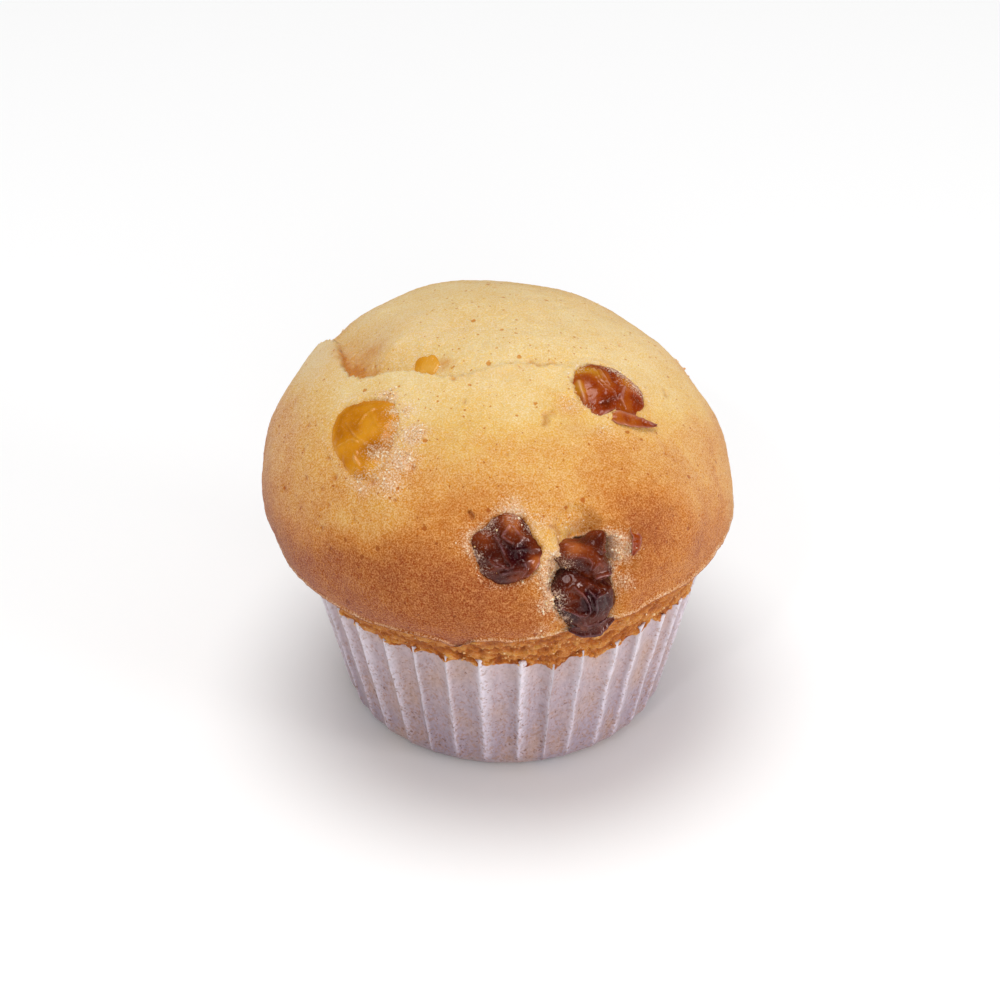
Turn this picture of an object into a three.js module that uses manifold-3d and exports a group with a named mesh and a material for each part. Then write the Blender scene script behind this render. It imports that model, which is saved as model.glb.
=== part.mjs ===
// A muffin with raisins in its pleated paper case. Millimetres, +Z up, origin at the centre of the flat base.
// The front, where the crust has split over two raisins, faces -Y.
import * as THREE from 'three';
import { mergeVertices } from 'three/addons/utils/BufferGeometryUtils.js';
import Module from 'manifold-3d';

const degree = Math.PI / 180;
const clearance = 0.3; // left between pieces that touch

// Paper case: a cup of thin paper, fluted between outward ridges
const caseBaseRadius = 25;
const caseCorner = 3.5; // radius between base and wall
const caseFlare = 0.2536; // growth of the radius for each mm of height
const paperThickness = 0.5;
const pleatCount = 37;
const pleatDepth = 1.4; // how far a flute lies inside the ridges at the rim
const fluteFoot = 1.5; // height at which the flutes begin
const pleatJitter = 2.0; // degrees a ridge may stray from even spacing
const pleatSeed = 1.624105; // start of the ridges' random draw
const firstRidge = -155.6; // degrees
const rimHeight = 25.4; // rim at a flute
const ridgeRise = 1.5; // how much higher the rim stands on a ridge

// Places where the rim stands higher or, with the crumb hanging over it, lower
const rimWaves = [
  { azimuth: -75, rise: -2.0, width: 3.5 },
  { azimuth: -62, rise: -2.2, width: 3.0 },
  { azimuth: -44, rise: 1.8, width: 4.0 },
  { azimuth: -21, rise: -2.0, width: 5.0 },
  { azimuth: 38, rise: -1.8, width: 5.0 },
  { azimuth: 96, rise: 1.4, width: 8.0 },
  { azimuth: 141, rise: -1.6, width: 6.0 },
];

// Cap: a lobed dome over a shallow turned-in shoulder that ends in a lip
const capRadius = 38.1;
const equatorHeight = 41.7;
const domeHeight = 26.0;
const shoulderDepth = 14.6;
const domeLean = -2.4; // how far the top leans along X
const lipHeight = 35.3;
const lipDip = { azimuth: -103, drop: 1.4, width: 14 };
const lobes = [
  { waves: 1, cosine: -0.037, sine: -0.062 },
  { waves: 2, cosine: -0.031, sine: 0 },
  { waves: 3, cosine: 0.004, sine: -0.011 },
];
const lumps = [
  { height: 0.22, length: 19, along: [0.8, 0.5, 0.3], shift: 0.4 },
  { height: 0.18, length: 14, along: [-0.4, 0.8, 0.5], shift: 2.1 },
  { height: 0.12, length: 10, along: [0.5, -0.3, 0.8], shift: 4.0 },
];

// Fold: the front of the dome rises over the back of it along this line, seen from above
const foldLine = [
  [-33, 22], [-28.2, 11], [-26.2, 5.5], [-25, -4], [-21.5, -8.2], [-16, -8.9], [-8.2, -11.5], [0.5, -8.9], [9, -8],
];
const foldDepth = 3.0;
const foldWidth = 11;
const foldWall = 2.5; // run of the steep side

// Hollows in the crust: round the split, under the fold and round the raisins that lie low
const hollows = [
  { azimuth: -69, rise: 15, radius: 8.5, depth: 2.1 },
  { azimuth: -72, rise: 1, radius: 7.5, depth: 1.8 },
  { azimuth: -75, rise: 27, radius: 5, depth: 1.2 },
  { azimuth: -160, rise: 75, radius: 3.5, depth: 1.0 },
  { azimuth: -88, rise: 24.5, radius: 7.5, depth: 0.7 },
];
const swellings = [
  { azimuth: -46, rise: 20, radius: 12, depth: -0.8 },
];

// Raisins: half lengths along, across and through each one. turn is the long axis against the level, in degrees, and
// sink is how far the middle lies under the crust.
const raisins = [
  { name: 'raisin_golden_front', azimuth: -135.5, rise: 45.5, half: [8.2, 6.0, 2.9], turn: -52, sink: 1.3,
    colour: 0xc08a2c, seed: 3, detail: 18 },
  { name: 'raisin_red_top', azimuth: -29.2, rise: 56.9, half: [6.9, 5.2, 3.4], turn: -20, sink: 1.2,
    colour: 0x8a3a10, seed: 5, detail: 18 },
  { name: 'raisin_dark_middle', azimuth: -88, rise: 24.5, half: [6.1, 5.9, 3.4], turn: 10, sink: 1.6,
    colour: 0x4a1c10, seed: 8, detail: 18 },
  { name: 'raisin_dark_split', azimuth: -72, rise: 2, half: [5.8, 4.9, 3.6], turn: 95, sink: 2.4,
    colour: 0x3c170c, seed: 11, detail: 18 },
  { name: 'raisin_brown_split', azimuth: -67.5, rise: 18, half: [5.6, 3.6, 3.2], turn: 22, sink: 2.9,
    colour: 0x6b3b16, seed: 14, detail: 18, under: 'raisin_dark_split' },
  { name: 'raisin_amber_fold', azimuth: -160, rise: 75, half: [2.5, 1.9, 1.6], turn: 70, sink: 3.0,
    colour: 0xd08a1c, seed: 17, detail: 10 },
  { name: 'raisin_dark_back', azimuth: 62, rise: 22, half: [6.6, 5.2, 3.1], turn: 25, sink: 1.3,
    colour: 0x4a1c10, seed: 21, detail: 16 },
  { name: 'raisin_golden_back', azimuth: 128, rise: 18, half: [7.4, 5.4, 3.0], turn: -15, sink: 1.4,
    colour: 0xc08a2c, seed: 24, detail: 16 },
  { name: 'raisin_red_side', azimuth: 28, rise: 6, half: [6.2, 5.0, 3.2], turn: 70, sink: 1.5,
    colour: 0x8a3a10, seed: 28, detail: 16 },
];
const raisinFolds = 5; // creases in each raisin
const creaseDepth = 0.14; // as a share of its radius
const pocketGrowth = 0.5;

const paperMaterial = new THREE.MeshStandardMaterial({ color: 0xd9d0d6, roughness: 0.85, metalness: 0 });
const spongeMaterial = new THREE.MeshStandardMaterial({ color: 0xdfae62, roughness: 0.8, metalness: 0 });

const wasm = await Module();
wasm.setup();

// A repeatable draw between 0 and 1
function draw(index, seed) {
  const wave = Math.sin(index * 12.9898 + seed) * 43758.5453;
  return wave - Math.floor(wave);
}

function smooth(from, to, value) {
  return THREE.MathUtils.smoothstep(value, from, to);
}

// Signed difference of two azimuths in degrees, from -180 to 180
function turnBetween(a, b) {
  return THREE.MathUtils.euclideanModulo(a - b + 180, 360) - 180;
}

function bump(azimuth, wave) {
  return Math.exp(-((turnBetween(azimuth, wave.azimuth) / wave.width) ** 2));
}

// Three columns for each pleat: one on its ridge and two in its flute
const columnsPerPleat = 3;
const columnCount = pleatCount * columnsPerPleat;

function ridgeAzimuth(ridge) {
  const stray = (draw(THREE.MathUtils.euclideanModulo(ridge, pleatCount), pleatSeed) - 0.5) * 2 * pleatJitter;
  return firstRidge + ridge * 360 / pleatCount + stray;
}

function columnAzimuth(column) {
  const ridge = Math.floor(column / columnsPerPleat);
  const part = (column % columnsPerPleat) / columnsPerPleat;
  return THREE.MathUtils.lerp(ridgeAzimuth(ridge), ridgeAzimuth(ridge + 1), part);
}

function fluteShare(column) {
  return Math.sin(Math.PI * (column % columnsPerPleat) / columnsPerPleat) ** 0.6;
}

function rimAt(column) {
  const azimuth = columnAzimuth(column);
  const waves = rimWaves.reduce((sum, wave) => sum + wave.rise * bump(azimuth, wave), 0);
  const uneven = draw(Math.floor(column / columnsPerPleat), 2) - 0.5;
  return rimHeight + waves + uneven + ridgeRise * (1 - fluteShare(column));
}

// Radius of the case at a height, on a surface that lies inward of its outside
function caseRadius(column, height, inward) {
  const lift = Math.max(0, caseCorner - height);
  const arc = Math.sqrt(Math.max(0, (caseCorner - inward) ** 2 - lift ** 2));
  const flute = pleatDepth * (Math.max(0, height - fluteFoot) / rimHeight) ** 0.7 * fluteShare(column);
  return caseBaseRadius - caseCorner + arc + caseFlare * height - flute;
}

function ringPoint(azimuth, radius, height) {
  return new THREE.Vector3(radius * Math.cos(azimuth * degree), radius * Math.sin(azimuth * degree), height);
}

// A surface of the case from the middle of its floor up to a height under the rim
function caseRings(column, inward) {
  const azimuth = columnAzimuth(column);
  const cornerLift = (caseCorner - inward) * (1 - Math.SQRT1_2);
  const heights = [inward, inward + cornerLift, caseCorner, rimHeight * 0.54];
  const rings = heights.map((height) => ringPoint(azimuth, caseRadius(column, height, inward), height));
  return [new THREE.Vector3(0, 0, inward), ...rings];
}

// Point on the plain cap. rise runs from 90 at the top through 0 at the equator to about -30 at the lip.
function capPoint(azimuth, rise) {
  const turn = azimuth * degree;
  const angle = Math.abs(rise) * degree;
  const lobe = lobes.reduce(
    (sum, one) => sum + one.cosine * Math.cos(one.waves * turn) + one.sine * Math.sin(one.waves * turn), 1);
  const height = rise >= 0
    ? equatorHeight + domeHeight * Math.sin(angle) ** 0.985
    : equatorHeight - shoulderDepth * Math.sin(angle) ** 0.832;
  const radius = capRadius * lobe * Math.max(0, Math.cos(angle)) ** (rise >= 0 ? 0.958 : 0.8);
  const point = ringPoint(azimuth, radius, height);
  point.x += domeLean * (height - equatorHeight) / domeHeight;
  return point;
}

function lipRise(azimuth) {
  const height = lipHeight - lipDip.drop * bump(azimuth, lipDip);
  return -Math.asin(((equatorHeight - height) / shoulderDepth) ** (1 / 0.832)) / degree;
}

const foldCurve = new THREE.CatmullRomCurve3(foldLine.map(([x, y]) => new THREE.Vector3(x, y, 0)));
const foldSteps = 80;
const foldPoints = foldCurve.getPoints(foldSteps);

// The fold's relief: a steep step down just behind the line, easing back up over the fold's width
function foldRelief(point) {
  if (point.z < equatorHeight + 8) {
    return 0;
  }
  const spot = new THREE.Vector3(point.x, point.y, 0);
  const gaps = foldPoints.map((one) => one.distanceTo(spot));
  const nearest = gaps.indexOf(Math.min(...gaps));
  const share = nearest / foldSteps;
  const along = foldCurve.getTangent(share);
  const offset = spot.clone().sub(foldPoints[nearest]);
  const behind = along.x * offset.y - along.y * offset.x;
  const size = (1 - 0.75 * smooth(0.5, 0.85, share)) * (0.3 + 0.7 * smooth(0, 0.2, share));
  if (behind <= 0) {
    return 0.5 * size * Math.exp(-((gaps[nearest] / 5) ** 2));
  }
  const width = foldWidth * (1 - 0.6 * smooth(0.5, 0.85, share));
  const past = Math.max(0, gaps[nearest] - Math.abs(behind)) / 3;
  const step = smooth(0, foldWall, behind) * (1 - smooth(0.15 * width, width, behind));
  return -foldDepth * size * step * Math.exp(-past);
}

function dishRelief(point, dish) {
  const middle = capPoint(dish.azimuth, dish.rise);
  return -dish.depth * (1 - smooth(0.45, 1, point.distanceTo(middle) / dish.radius));
}

// How far the crust stands off the plain cap at a point
function crustRelief(point) {
  let relief = foldRelief(point);
  for (const dish of [...hollows, ...swellings]) {
    relief += dishRelief(point, dish);
  }
  for (const lump of lumps) {
    const phase = point.dot(new THREE.Vector3(...lump.along).normalize()) * 2 * Math.PI / lump.length;
    relief += lump.height * Math.sin(phase + lump.shift);
  }
  return relief;
}

const capHeart = new THREE.Vector3(0, 0, equatorHeight - 7);

function crustPoint(azimuth, rise) {
  const point = capPoint(azimuth, rise);
  const outward = point.clone().sub(capHeart).normalize();
  return point.addScaledVector(outward, crustRelief(point));
}

// A closed body whose rings of points are given column by column, each from the lower pole to the upper one
function ringBody(columns) {
  const rows = columns[0].length;
  const outline = Array.from({ length: rows }, (_, row) => {
    const angle = Math.PI * row / (rows - 1);
    return new THREE.Vector2(Math.sin(angle), -Math.cos(angle));
  });
  const geometry = new THREE.LatheGeometry(outline, columns.length);
  const position = geometry.attributes.position;
  for (let index = 0; index < position.count; index += 1) {
    const column = Math.floor(index / rows) % columns.length;
    const point = columns[column][index % rows];
    position.setXYZ(index, point.x, point.y, point.z);
  }
  return closed(geometry);
}

// Joins doubled points and drops the empty triangles that this leaves at the poles
function closed(geometry) {
  geometry.deleteAttribute('normal');
  geometry.deleteAttribute('uv');
  const merged = mergeVertices(geometry, 1e-4);
  const corners = merged.index.array;
  const kept = [];
  for (let first = 0; first < corners.length; first += 3) {
    const [a, b, c] = corners.slice(first, first + 3);
    if (a !== b && b !== c && c !== a) {
      kept.push(a, b, c);
    }
  }
  merged.setIndex(kept);
  return merged;
}

function toSolid(geometry) {
  return new wasm.Manifold(new wasm.Mesh({
    numProp: 3,
    vertProperties: Float32Array.from(geometry.attributes.position.array),
    triVerts: Uint32Array.from(geometry.index.array),
  }));
}

function toGeometry(solid) {
  const mesh = solid.getMesh();
  const geometry = new THREE.BufferGeometry();
  geometry.setAttribute('position', new THREE.BufferAttribute(mesh.vertProperties, 3));
  geometry.setIndex(Array.from(mesh.triVerts));
  return geometry;
}

function paperCase() {
  const columns = Array.from({ length: columnCount }, (_, column) => {
    const azimuth = columnAzimuth(column);
    const rim = rimAt(column);
    const outside = caseRings(column, 0);
    const inside = caseRings(column, paperThickness).reverse();
    const rimOutside = ringPoint(azimuth, caseRadius(column, rim, 0), rim);
    const rimInside = ringPoint(azimuth, caseRadius(column, rim, paperThickness), rim);
    return [...outside, rimOutside, rimInside, ...inside];
  });
  return ringBody(columns);
}

// The torn crumb between the paper's rim and the cap's lip
function crumbBand(column, lip) {
  const azimuth = columnAzimuth(column);
  const rim = rimAt(column);
  const inner = paperThickness + clearance;
  const shelf = rim + clearance;
  const bandTop = 31.4;
  const lipRadius = Math.hypot(lip.x, lip.y);
  const bandRadius = Math.min(caseBaseRadius + caseFlare * bandTop + 0.2, lipRadius - 1.6);
  return [
    ringPoint(azimuth, caseRadius(column, rim - 1, inner), rim - 1),
    ringPoint(azimuth, caseRadius(column, rim - 1, inner), shelf),
    ringPoint(azimuth, caseRadius(column, shelf, 0) + 0.1, shelf),
    ringPoint(azimuth, caseRadius(column, shelf, 0) + 0.6, shelf + 1),
    ringPoint(azimuth, bandRadius, bandTop),
    ringPoint(azimuth, Math.min(bandRadius, lipRadius - 2.6) - 0.3, lip.z - 1.9),
    ringPoint(azimuth, lipRadius - 0.9, lip.z - 1.0),
  ];
}

const shoulderRises = [1, 0.66, 0.33]; // as shares of the way down to the lip
const domeRises = [0, 9, 18, 27, 35.5, 43, 50, 57, 64, 71, 78, 84.5, 90];

function spongeBody() {
  const columns = Array.from({ length: columnCount }, (_, column) => {
    const azimuth = columnAzimuth(column);
    const lowest = lipRise(azimuth);
    const shoulder = shoulderRises.map((share) => crustPoint(azimuth, share * lowest));
    const dome = domeRises.map((rise) => crustPoint(rise === 90 ? 0 : azimuth, rise));
    const lower = caseRings(column, paperThickness + clearance);
    return [...lower, ...crumbBand(column, shoulder[0]), ...shoulder, ...dome];
  });
  return ringBody(columns);
}

// Axes of a raisin: along it, across it and out of the crust
function raisinAxes(raisin) {
  const step = 0.5;
  const middle = capPoint(raisin.azimuth, raisin.rise);
  const east = capPoint(raisin.azimuth + step, raisin.rise).sub(middle).normalize();
  const north = capPoint(raisin.azimuth, raisin.rise + step).sub(middle).normalize();
  const out = east.clone().cross(north).normalize();
  const turn = raisin.turn * degree;
  const along = east.clone().multiplyScalar(Math.cos(turn)).addScaledVector(north, Math.sin(turn));
  along.addScaledVector(out, -along.dot(out)).normalize();
  const across = out.clone().cross(along);
  const frame = new THREE.Matrix4().makeBasis(along, across, out);
  return frame.setPosition(middle.addScaledVector(out, -raisin.sink));
}

// Share of its radius that a raisin has in one direction, with its creases
function raisinShare(direction, seed) {
  let share = 1;
  for (let fold = 0; fold < raisinFolds; fold += 1) {
    const crease = new THREE.Vector3(
      draw(fold, seed) - 0.5, draw(fold, seed + 0.3) - 0.5, (draw(fold, seed + 0.7) - 0.5) * 0.6).normalize();
    const offset = direction.dot(crease) - (draw(fold, seed + 0.9) - 0.5);
    share -= creaseDepth * Math.exp(-((offset / 0.16) ** 2));
  }
  return share;
}

function raisinShape(raisin, growth) {
  const geometry = new THREE.SphereGeometry(1, raisin.detail, Math.round(raisin.detail * 0.55));
  const position = geometry.attributes.position;
  const half = new THREE.Vector3(...raisin.half);
  const point = new THREE.Vector3();
  for (let index = 0; index < position.count; index += 1) {
    point.fromBufferAttribute(position, index).normalize();
    const grown = half.clone().multiplyScalar(raisinShare(point, raisin.seed)).addScalar(growth);
    point.multiply(grown);
    position.setXYZ(index, point.x, point.y, point.z);
  }
  geometry.applyMatrix4(raisinAxes(raisin));
  return closed(geometry);
}

function raisinSolid(raisin) {
  const solid = toSolid(raisinShape(raisin, 0));
  const upper = raisins.find((one) => one.name === raisin.under);
  return upper ? solid.subtract(toSolid(raisinShape(upper, pocketGrowth))) : solid;
}

function sponge() {
  let solid = toSolid(spongeBody());
  for (const raisin of raisins) {
    solid = solid.subtract(toSolid(raisinShape(raisin, pocketGrowth)));
  }
  return toGeometry(solid);
}

function named(name, geometry, material) {
  geometry.computeVertexNormals();
  const mesh = new THREE.Mesh(geometry, material);
  mesh.name = name;
  return mesh;
}

const group = new THREE.Group();
group.add(named('paper_case', paperCase(), paperMaterial));
group.add(named('muffin_sponge', sponge(), spongeMaterial));
for (const raisin of raisins) {
  const material = new THREE.MeshStandardMaterial({ color: raisin.colour, roughness: 0.3, metalness: 0 });
  group.add(named(raisin.name, toGeometry(raisinSolid(raisin)), material));
}

export default group;
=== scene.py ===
import math

import bmesh
import bpy
import numpy as np
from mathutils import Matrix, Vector, noise
from mathutils.kdtree import KDTree


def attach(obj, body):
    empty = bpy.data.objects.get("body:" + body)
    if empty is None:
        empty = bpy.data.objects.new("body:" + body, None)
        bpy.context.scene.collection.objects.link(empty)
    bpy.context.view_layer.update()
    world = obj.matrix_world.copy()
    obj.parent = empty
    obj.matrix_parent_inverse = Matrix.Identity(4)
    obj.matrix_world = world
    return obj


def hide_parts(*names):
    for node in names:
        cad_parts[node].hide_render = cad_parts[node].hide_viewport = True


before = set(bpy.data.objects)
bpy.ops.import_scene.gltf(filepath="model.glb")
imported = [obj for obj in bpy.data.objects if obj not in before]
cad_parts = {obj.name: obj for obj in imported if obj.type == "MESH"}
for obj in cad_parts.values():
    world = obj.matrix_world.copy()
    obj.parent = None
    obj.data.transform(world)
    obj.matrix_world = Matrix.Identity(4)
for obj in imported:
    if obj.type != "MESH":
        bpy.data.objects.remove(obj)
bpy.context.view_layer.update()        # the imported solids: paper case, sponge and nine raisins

metre = 0.001   # shapes are worked out in millimetres and degrees, and finished meshes are brought to metres

# small tools for numbers, colours and meshes

def smooth(low, high, value):
    share = np.clip((value - low) / (high - low), 0, 1)
    return share * share * (3 - 2 * share)


def bell(value, width):   # 1 at nothing, fading away on both sides over that width
    return np.exp(-(value / width) ** 2)


def ringed(azimuth, reach, height):   # points at those distances from the upright axis
    turn = np.radians(azimuth)
    return np.stack((reach * np.cos(turn), reach * np.sin(turn), height), axis=-1)


def turnBetween(a, b):   # signed difference of two azimuths
    return (a - b + 180) % 360 - 180


def draw(index, seed):   # a repeatable draw from 0 to 1
    wave = math.sin(index * 12.9898 + seed) * 43758.5453
    return wave - math.floor(wave)


def noiseAt(points, size, shift=0.0):   # soft noise from about -1 to 1, with lumps of that size
    spots = (points / size + (shift, shift * 0.7, -shift)).tolist()
    return np.array([noise.noise(spot) for spot in spots])


def roughAt(points, size, shift=0.0, octaves=3):   # the same with finer and finer lumps on it
    spots = (points / size + (shift, shift * 0.7, -shift)).tolist()
    return np.array([noise.fractal(spot, 0.9, 2.1, octaves) for spot in spots])


def around(azimuth, knots):   # smooth value round the muffin from (azimuth, value) knots in rising order
    turns = [spot for spot, value in knots]
    values = [value for spot, value in knots]
    turns = np.array([turns[-1] - 360] + turns + [turns[0] + 360], float)
    values = np.array([values[-1]] + values + [values[0]], float)
    spot = turnBetween(azimuth, 0)
    left = np.clip(np.searchsorted(turns, spot, side="right") - 1, 0, len(turns) - 2)
    share = smooth(0, 1, (spot - turns[left]) / (turns[left + 1] - turns[left]))
    return values[left] + (values[left + 1] - values[left]) * share


def tone(red, green, blue):   # a colour as painters give it, 0 to 255, made linear
    parts = [value / 255 for value in (red, green, blue)]
    return [value / 12.92 if value < 0.04045 else ((value + 0.055) / 1.055) ** 2.4 for value in parts] + [1.0]


def readBack(items, key, width):   # what Blender holds for each vertex, as rows of that many numbers
    flat = np.empty(len(items) * width, np.float32)
    items.foreach_get(key, flat)
    return flat.reshape(-1, width).astype(float)


def coordinates(mesh):
    return readBack(mesh.vertices, "co", 3)


def normals(mesh):
    return readBack(mesh.vertex_normals, "vector", 3)


def place(mesh, points):
    mesh.vertices.foreach_set("co", points.astype(np.float32).ravel())
    mesh.update()


def paint(mesh, name, values):   # one number for each vertex, which a material reads
    layer = mesh.attributes.new(name, "FLOAT", "POINT")
    layer.data.foreach_set("value", np.clip(values, 0, 1).astype(np.float32))


def paintedOn(mesh, name):
    return readBack(mesh.attributes[name].data, "value", 1)[:, 0]


def meshFrom(bm, name):
    mesh = bpy.data.meshes.new(name)
    bm.to_mesh(mesh)
    bm.free()
    mesh.shade_smooth()
    return mesh


def finishPiece(mesh, material, slot, *nodes):   # brings a mesh to metres and hands it to the frame
    place(mesh, coordinates(mesh) * metre)
    mesh.materials.append(material)
    piece = bpy.data.objects.new(mesh.name, mesh)
    bpy.context.scene.collection.objects.link(piece)
    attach(piece, "root")
    if nodes:
        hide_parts(*nodes)
    print(f"{mesh.name}: {len(mesh.loop_triangles) or len(mesh.polygons)} faces")
    return piece


def sphereOf(columns, rows):   # a unit sphere whose rings become the stations of a profile
    bm = bmesh.new()
    bmesh.ops.create_uvsphere(bm, u_segments=columns, v_segments=rows, radius=1)
    return bm


def sortVerts(bm):   # subdividing leaves them in another order each time, and the crumbs are drawn by it
    points = np.array([vert.co[:] for vert in bm.verts]).round(5)
    ranks = np.argsort(np.lexsort(points.T)).tolist()
    bm.verts.index_update()
    bm.verts.sort(key=lambda vert: ranks[vert.index])


def sphereSpots(points):   # azimuth, and share of the way from the lower to the upper pole
    azimuth = np.degrees(np.arctan2(points[:, 1], points[:, 0]))
    height = points[:, 2] / np.linalg.norm(points, axis=1)
    return azimuth, np.degrees(np.arcsin(np.clip(height, -1, 1))) / 180 + 0.5


cap = {   # the plain shape of the cap, as the sponge solid has it
    "radius": 38.1,
    "equator": 41.7,
    "dome": 26.0,                  # height above the equator
    "shoulder": 14.6,              # depth of the part that turns in below it
    "lean": -2.4,                  # how far the top leans along X
    "foot": 35.3,                  # height at which the cap ends and turns in to the case
    "lip": (                       # azimuth and height of the edge of the baked skin
        (-175, 36.8), (-140, 36.6), (-120, 36.6), (-109, 37.0), (-104.5, 36.6), (-102, 34.5), (-99.5, 36.0),
        (-97, 37.4), (-92, 37.7), (-89, 37.1), (-84, 37.7), (-78, 38.1), (-68, 38.7), (-61, 38.4),
        (-55, 39.3), (-40, 39.0), (-15, 38.4), (30, 37.6), (90, 37.0), (140, 37.2),
    ),
    "lobes": ((1, -0.037, -0.062), (2, -0.031, 0), (3, 0.004, -0.011)),   # waves, cosine, sine
    "domeCurve": (0.985, 0.958),   # how full the dome is, in height and in width
    "shoulderCurve": (0.832, 0.8),
    "heart": (0, 0, 34.7),         # relief on the crust points away from here
}


def capPoints(azimuth, rise):   # rise runs from 90 at the top through 0 at the equator to the lip
    azimuth, rise = np.broadcast_arrays(np.asarray(azimuth, float), np.asarray(rise, float))
    turn = np.radians(azimuth)
    angle = np.radians(np.abs(rise))
    lobe = 1 + sum(c * np.cos(w * turn) + s * np.sin(w * turn) for w, c, s in cap["lobes"])
    upper = rise >= 0
    highCurve, wideCurve = cap["domeCurve"]
    lowCurve, lowWide = cap["shoulderCurve"]
    height = np.where(upper, cap["dome"] * np.sin(angle) ** highCurve,
                      -cap["shoulder"] * np.sin(angle) ** lowCurve)
    reach = cap["radius"] * lobe * np.clip(np.cos(angle), 0, 1) ** np.where(upper, wideCurve, lowWide)
    x = reach * np.cos(turn) + cap["lean"] * height / cap["dome"]
    return np.stack((x, reach * np.sin(turn), cap["equator"] + height), axis=-1)


def gapTo(points, azimuth, rise):   # distance from points to a spot on the cap
    return np.linalg.norm(points - capPoints(azimuth, rise), axis=1)


def riseAt(height):   # where a height below the equator lies on the cap
    share = (cap["equator"] - height) / cap["shoulder"]
    return -np.degrees(np.arcsin(share ** (1 / cap["shoulderCurve"][0])))


def lipRise(azimuth):
    return riseAt(around(azimuth, cap["lip"]))


def outwardFrom(points):
    away = points - np.array(cap["heart"])
    return away / np.linalg.norm(away, axis=1)[:, None]


def localFrame(azimuth, rise, turn=0.0):   # a spot on the cap with its axes: along, across and out
    step = 0.5
    middle = capPoints(azimuth, rise)
    east = capPoints(azimuth + step, rise) - middle
    north = capPoints(azimuth, rise + step) - middle
    east /= np.linalg.norm(east)
    north /= np.linalg.norm(north)
    out = np.cross(east, north)
    out /= np.linalg.norm(out)
    angle = math.radians(turn)
    along = east * math.cos(angle) + north * math.sin(angle)
    along -= out * (along @ out)
    along /= np.linalg.norm(along)
    return middle, np.array((along, np.cross(out, along), out))


def outlineReach(outline, angle, middle):   # how far a closed outline, rounded off, lies from its middle
    corners = np.array(outline, float) - middle
    turns = np.arctan2(corners[:, 1], corners[:, 0])
    order = np.argsort(turns)
    turns = turns[order]
    reach = np.hypot(corners[:, 0], corners[:, 1])[order]
    turns = np.concatenate((turns - 2 * math.pi, turns, turns + 2 * math.pi))
    reach = np.tile(reach, 3)
    fine = np.linspace(-math.pi, math.pi, 181)
    rounded = np.interp(fine, turns, reach)
    blur = np.exp(-(np.arange(-6, 7) / 2.6) ** 2)
    rounded = np.convolve(np.tile(rounded[:-1], 3), blur / blur.sum(), "same")[180:361]
    return np.interp(angle, fine, rounded)


fold = {   # the front of the dome stands over the back of it along this line, seen from above
    "line": ((-33, 22), (-28.2, 11), (-26.2, 5.5), (-25, -4), (-21.5, -8.2), (-16, -8.9), (-8.2, -11.5),
             (0.5, -8.9), (9, -8)),
    "steps": 160,
    "depth": 3.0,
    "width": 11,
    "wall": 0.4,       # run of the steep side
    "crest": 0.55,
    "crestWidth": 5,
    "lowest": 49.7,    # the fold ends above this height
    "ragged": ((0.34, 1.1, 61), (0.2, 0.5, 62)),   # unevenness of the edge: amount, size and draw
}

hollows = (   # azimuth, rise, radius, depth
    (-69, 15, 8.5, 1.9), (-72, 1, 7.5, 1.6), (-71, 27, 5, 1.6), (-88, 24.5, 7.5, 0.6), (-46, 20, 12, -0.8),
    (-60.5, 17, 2.6, -0.6), (-51, 57, 5, 0.7),
)

splitOutline = (   # the torn opening round the two lower raisins, about its own middle
    (3.3, 6.4), (4.9, 5.8), (5.4, 4.4), (5.2, 2.3), (4.4, 0.6), (3.6, -0.4), (3.1, -3.5), (1.9, -4.9),
    (1.0, -6.5), (-0.7, -7.9), (-3.0, -7.7), (-5.4, -4.5), (-6.7, -1.3), (-7.2, 2.1), (-6.6, 4.3),
    (-4.7, 5.2), (-2.0, 5.8), (1.3, 5.8),
)
split = {"azimuth": -70, "rise": 10, "depth": 2.0}

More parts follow.
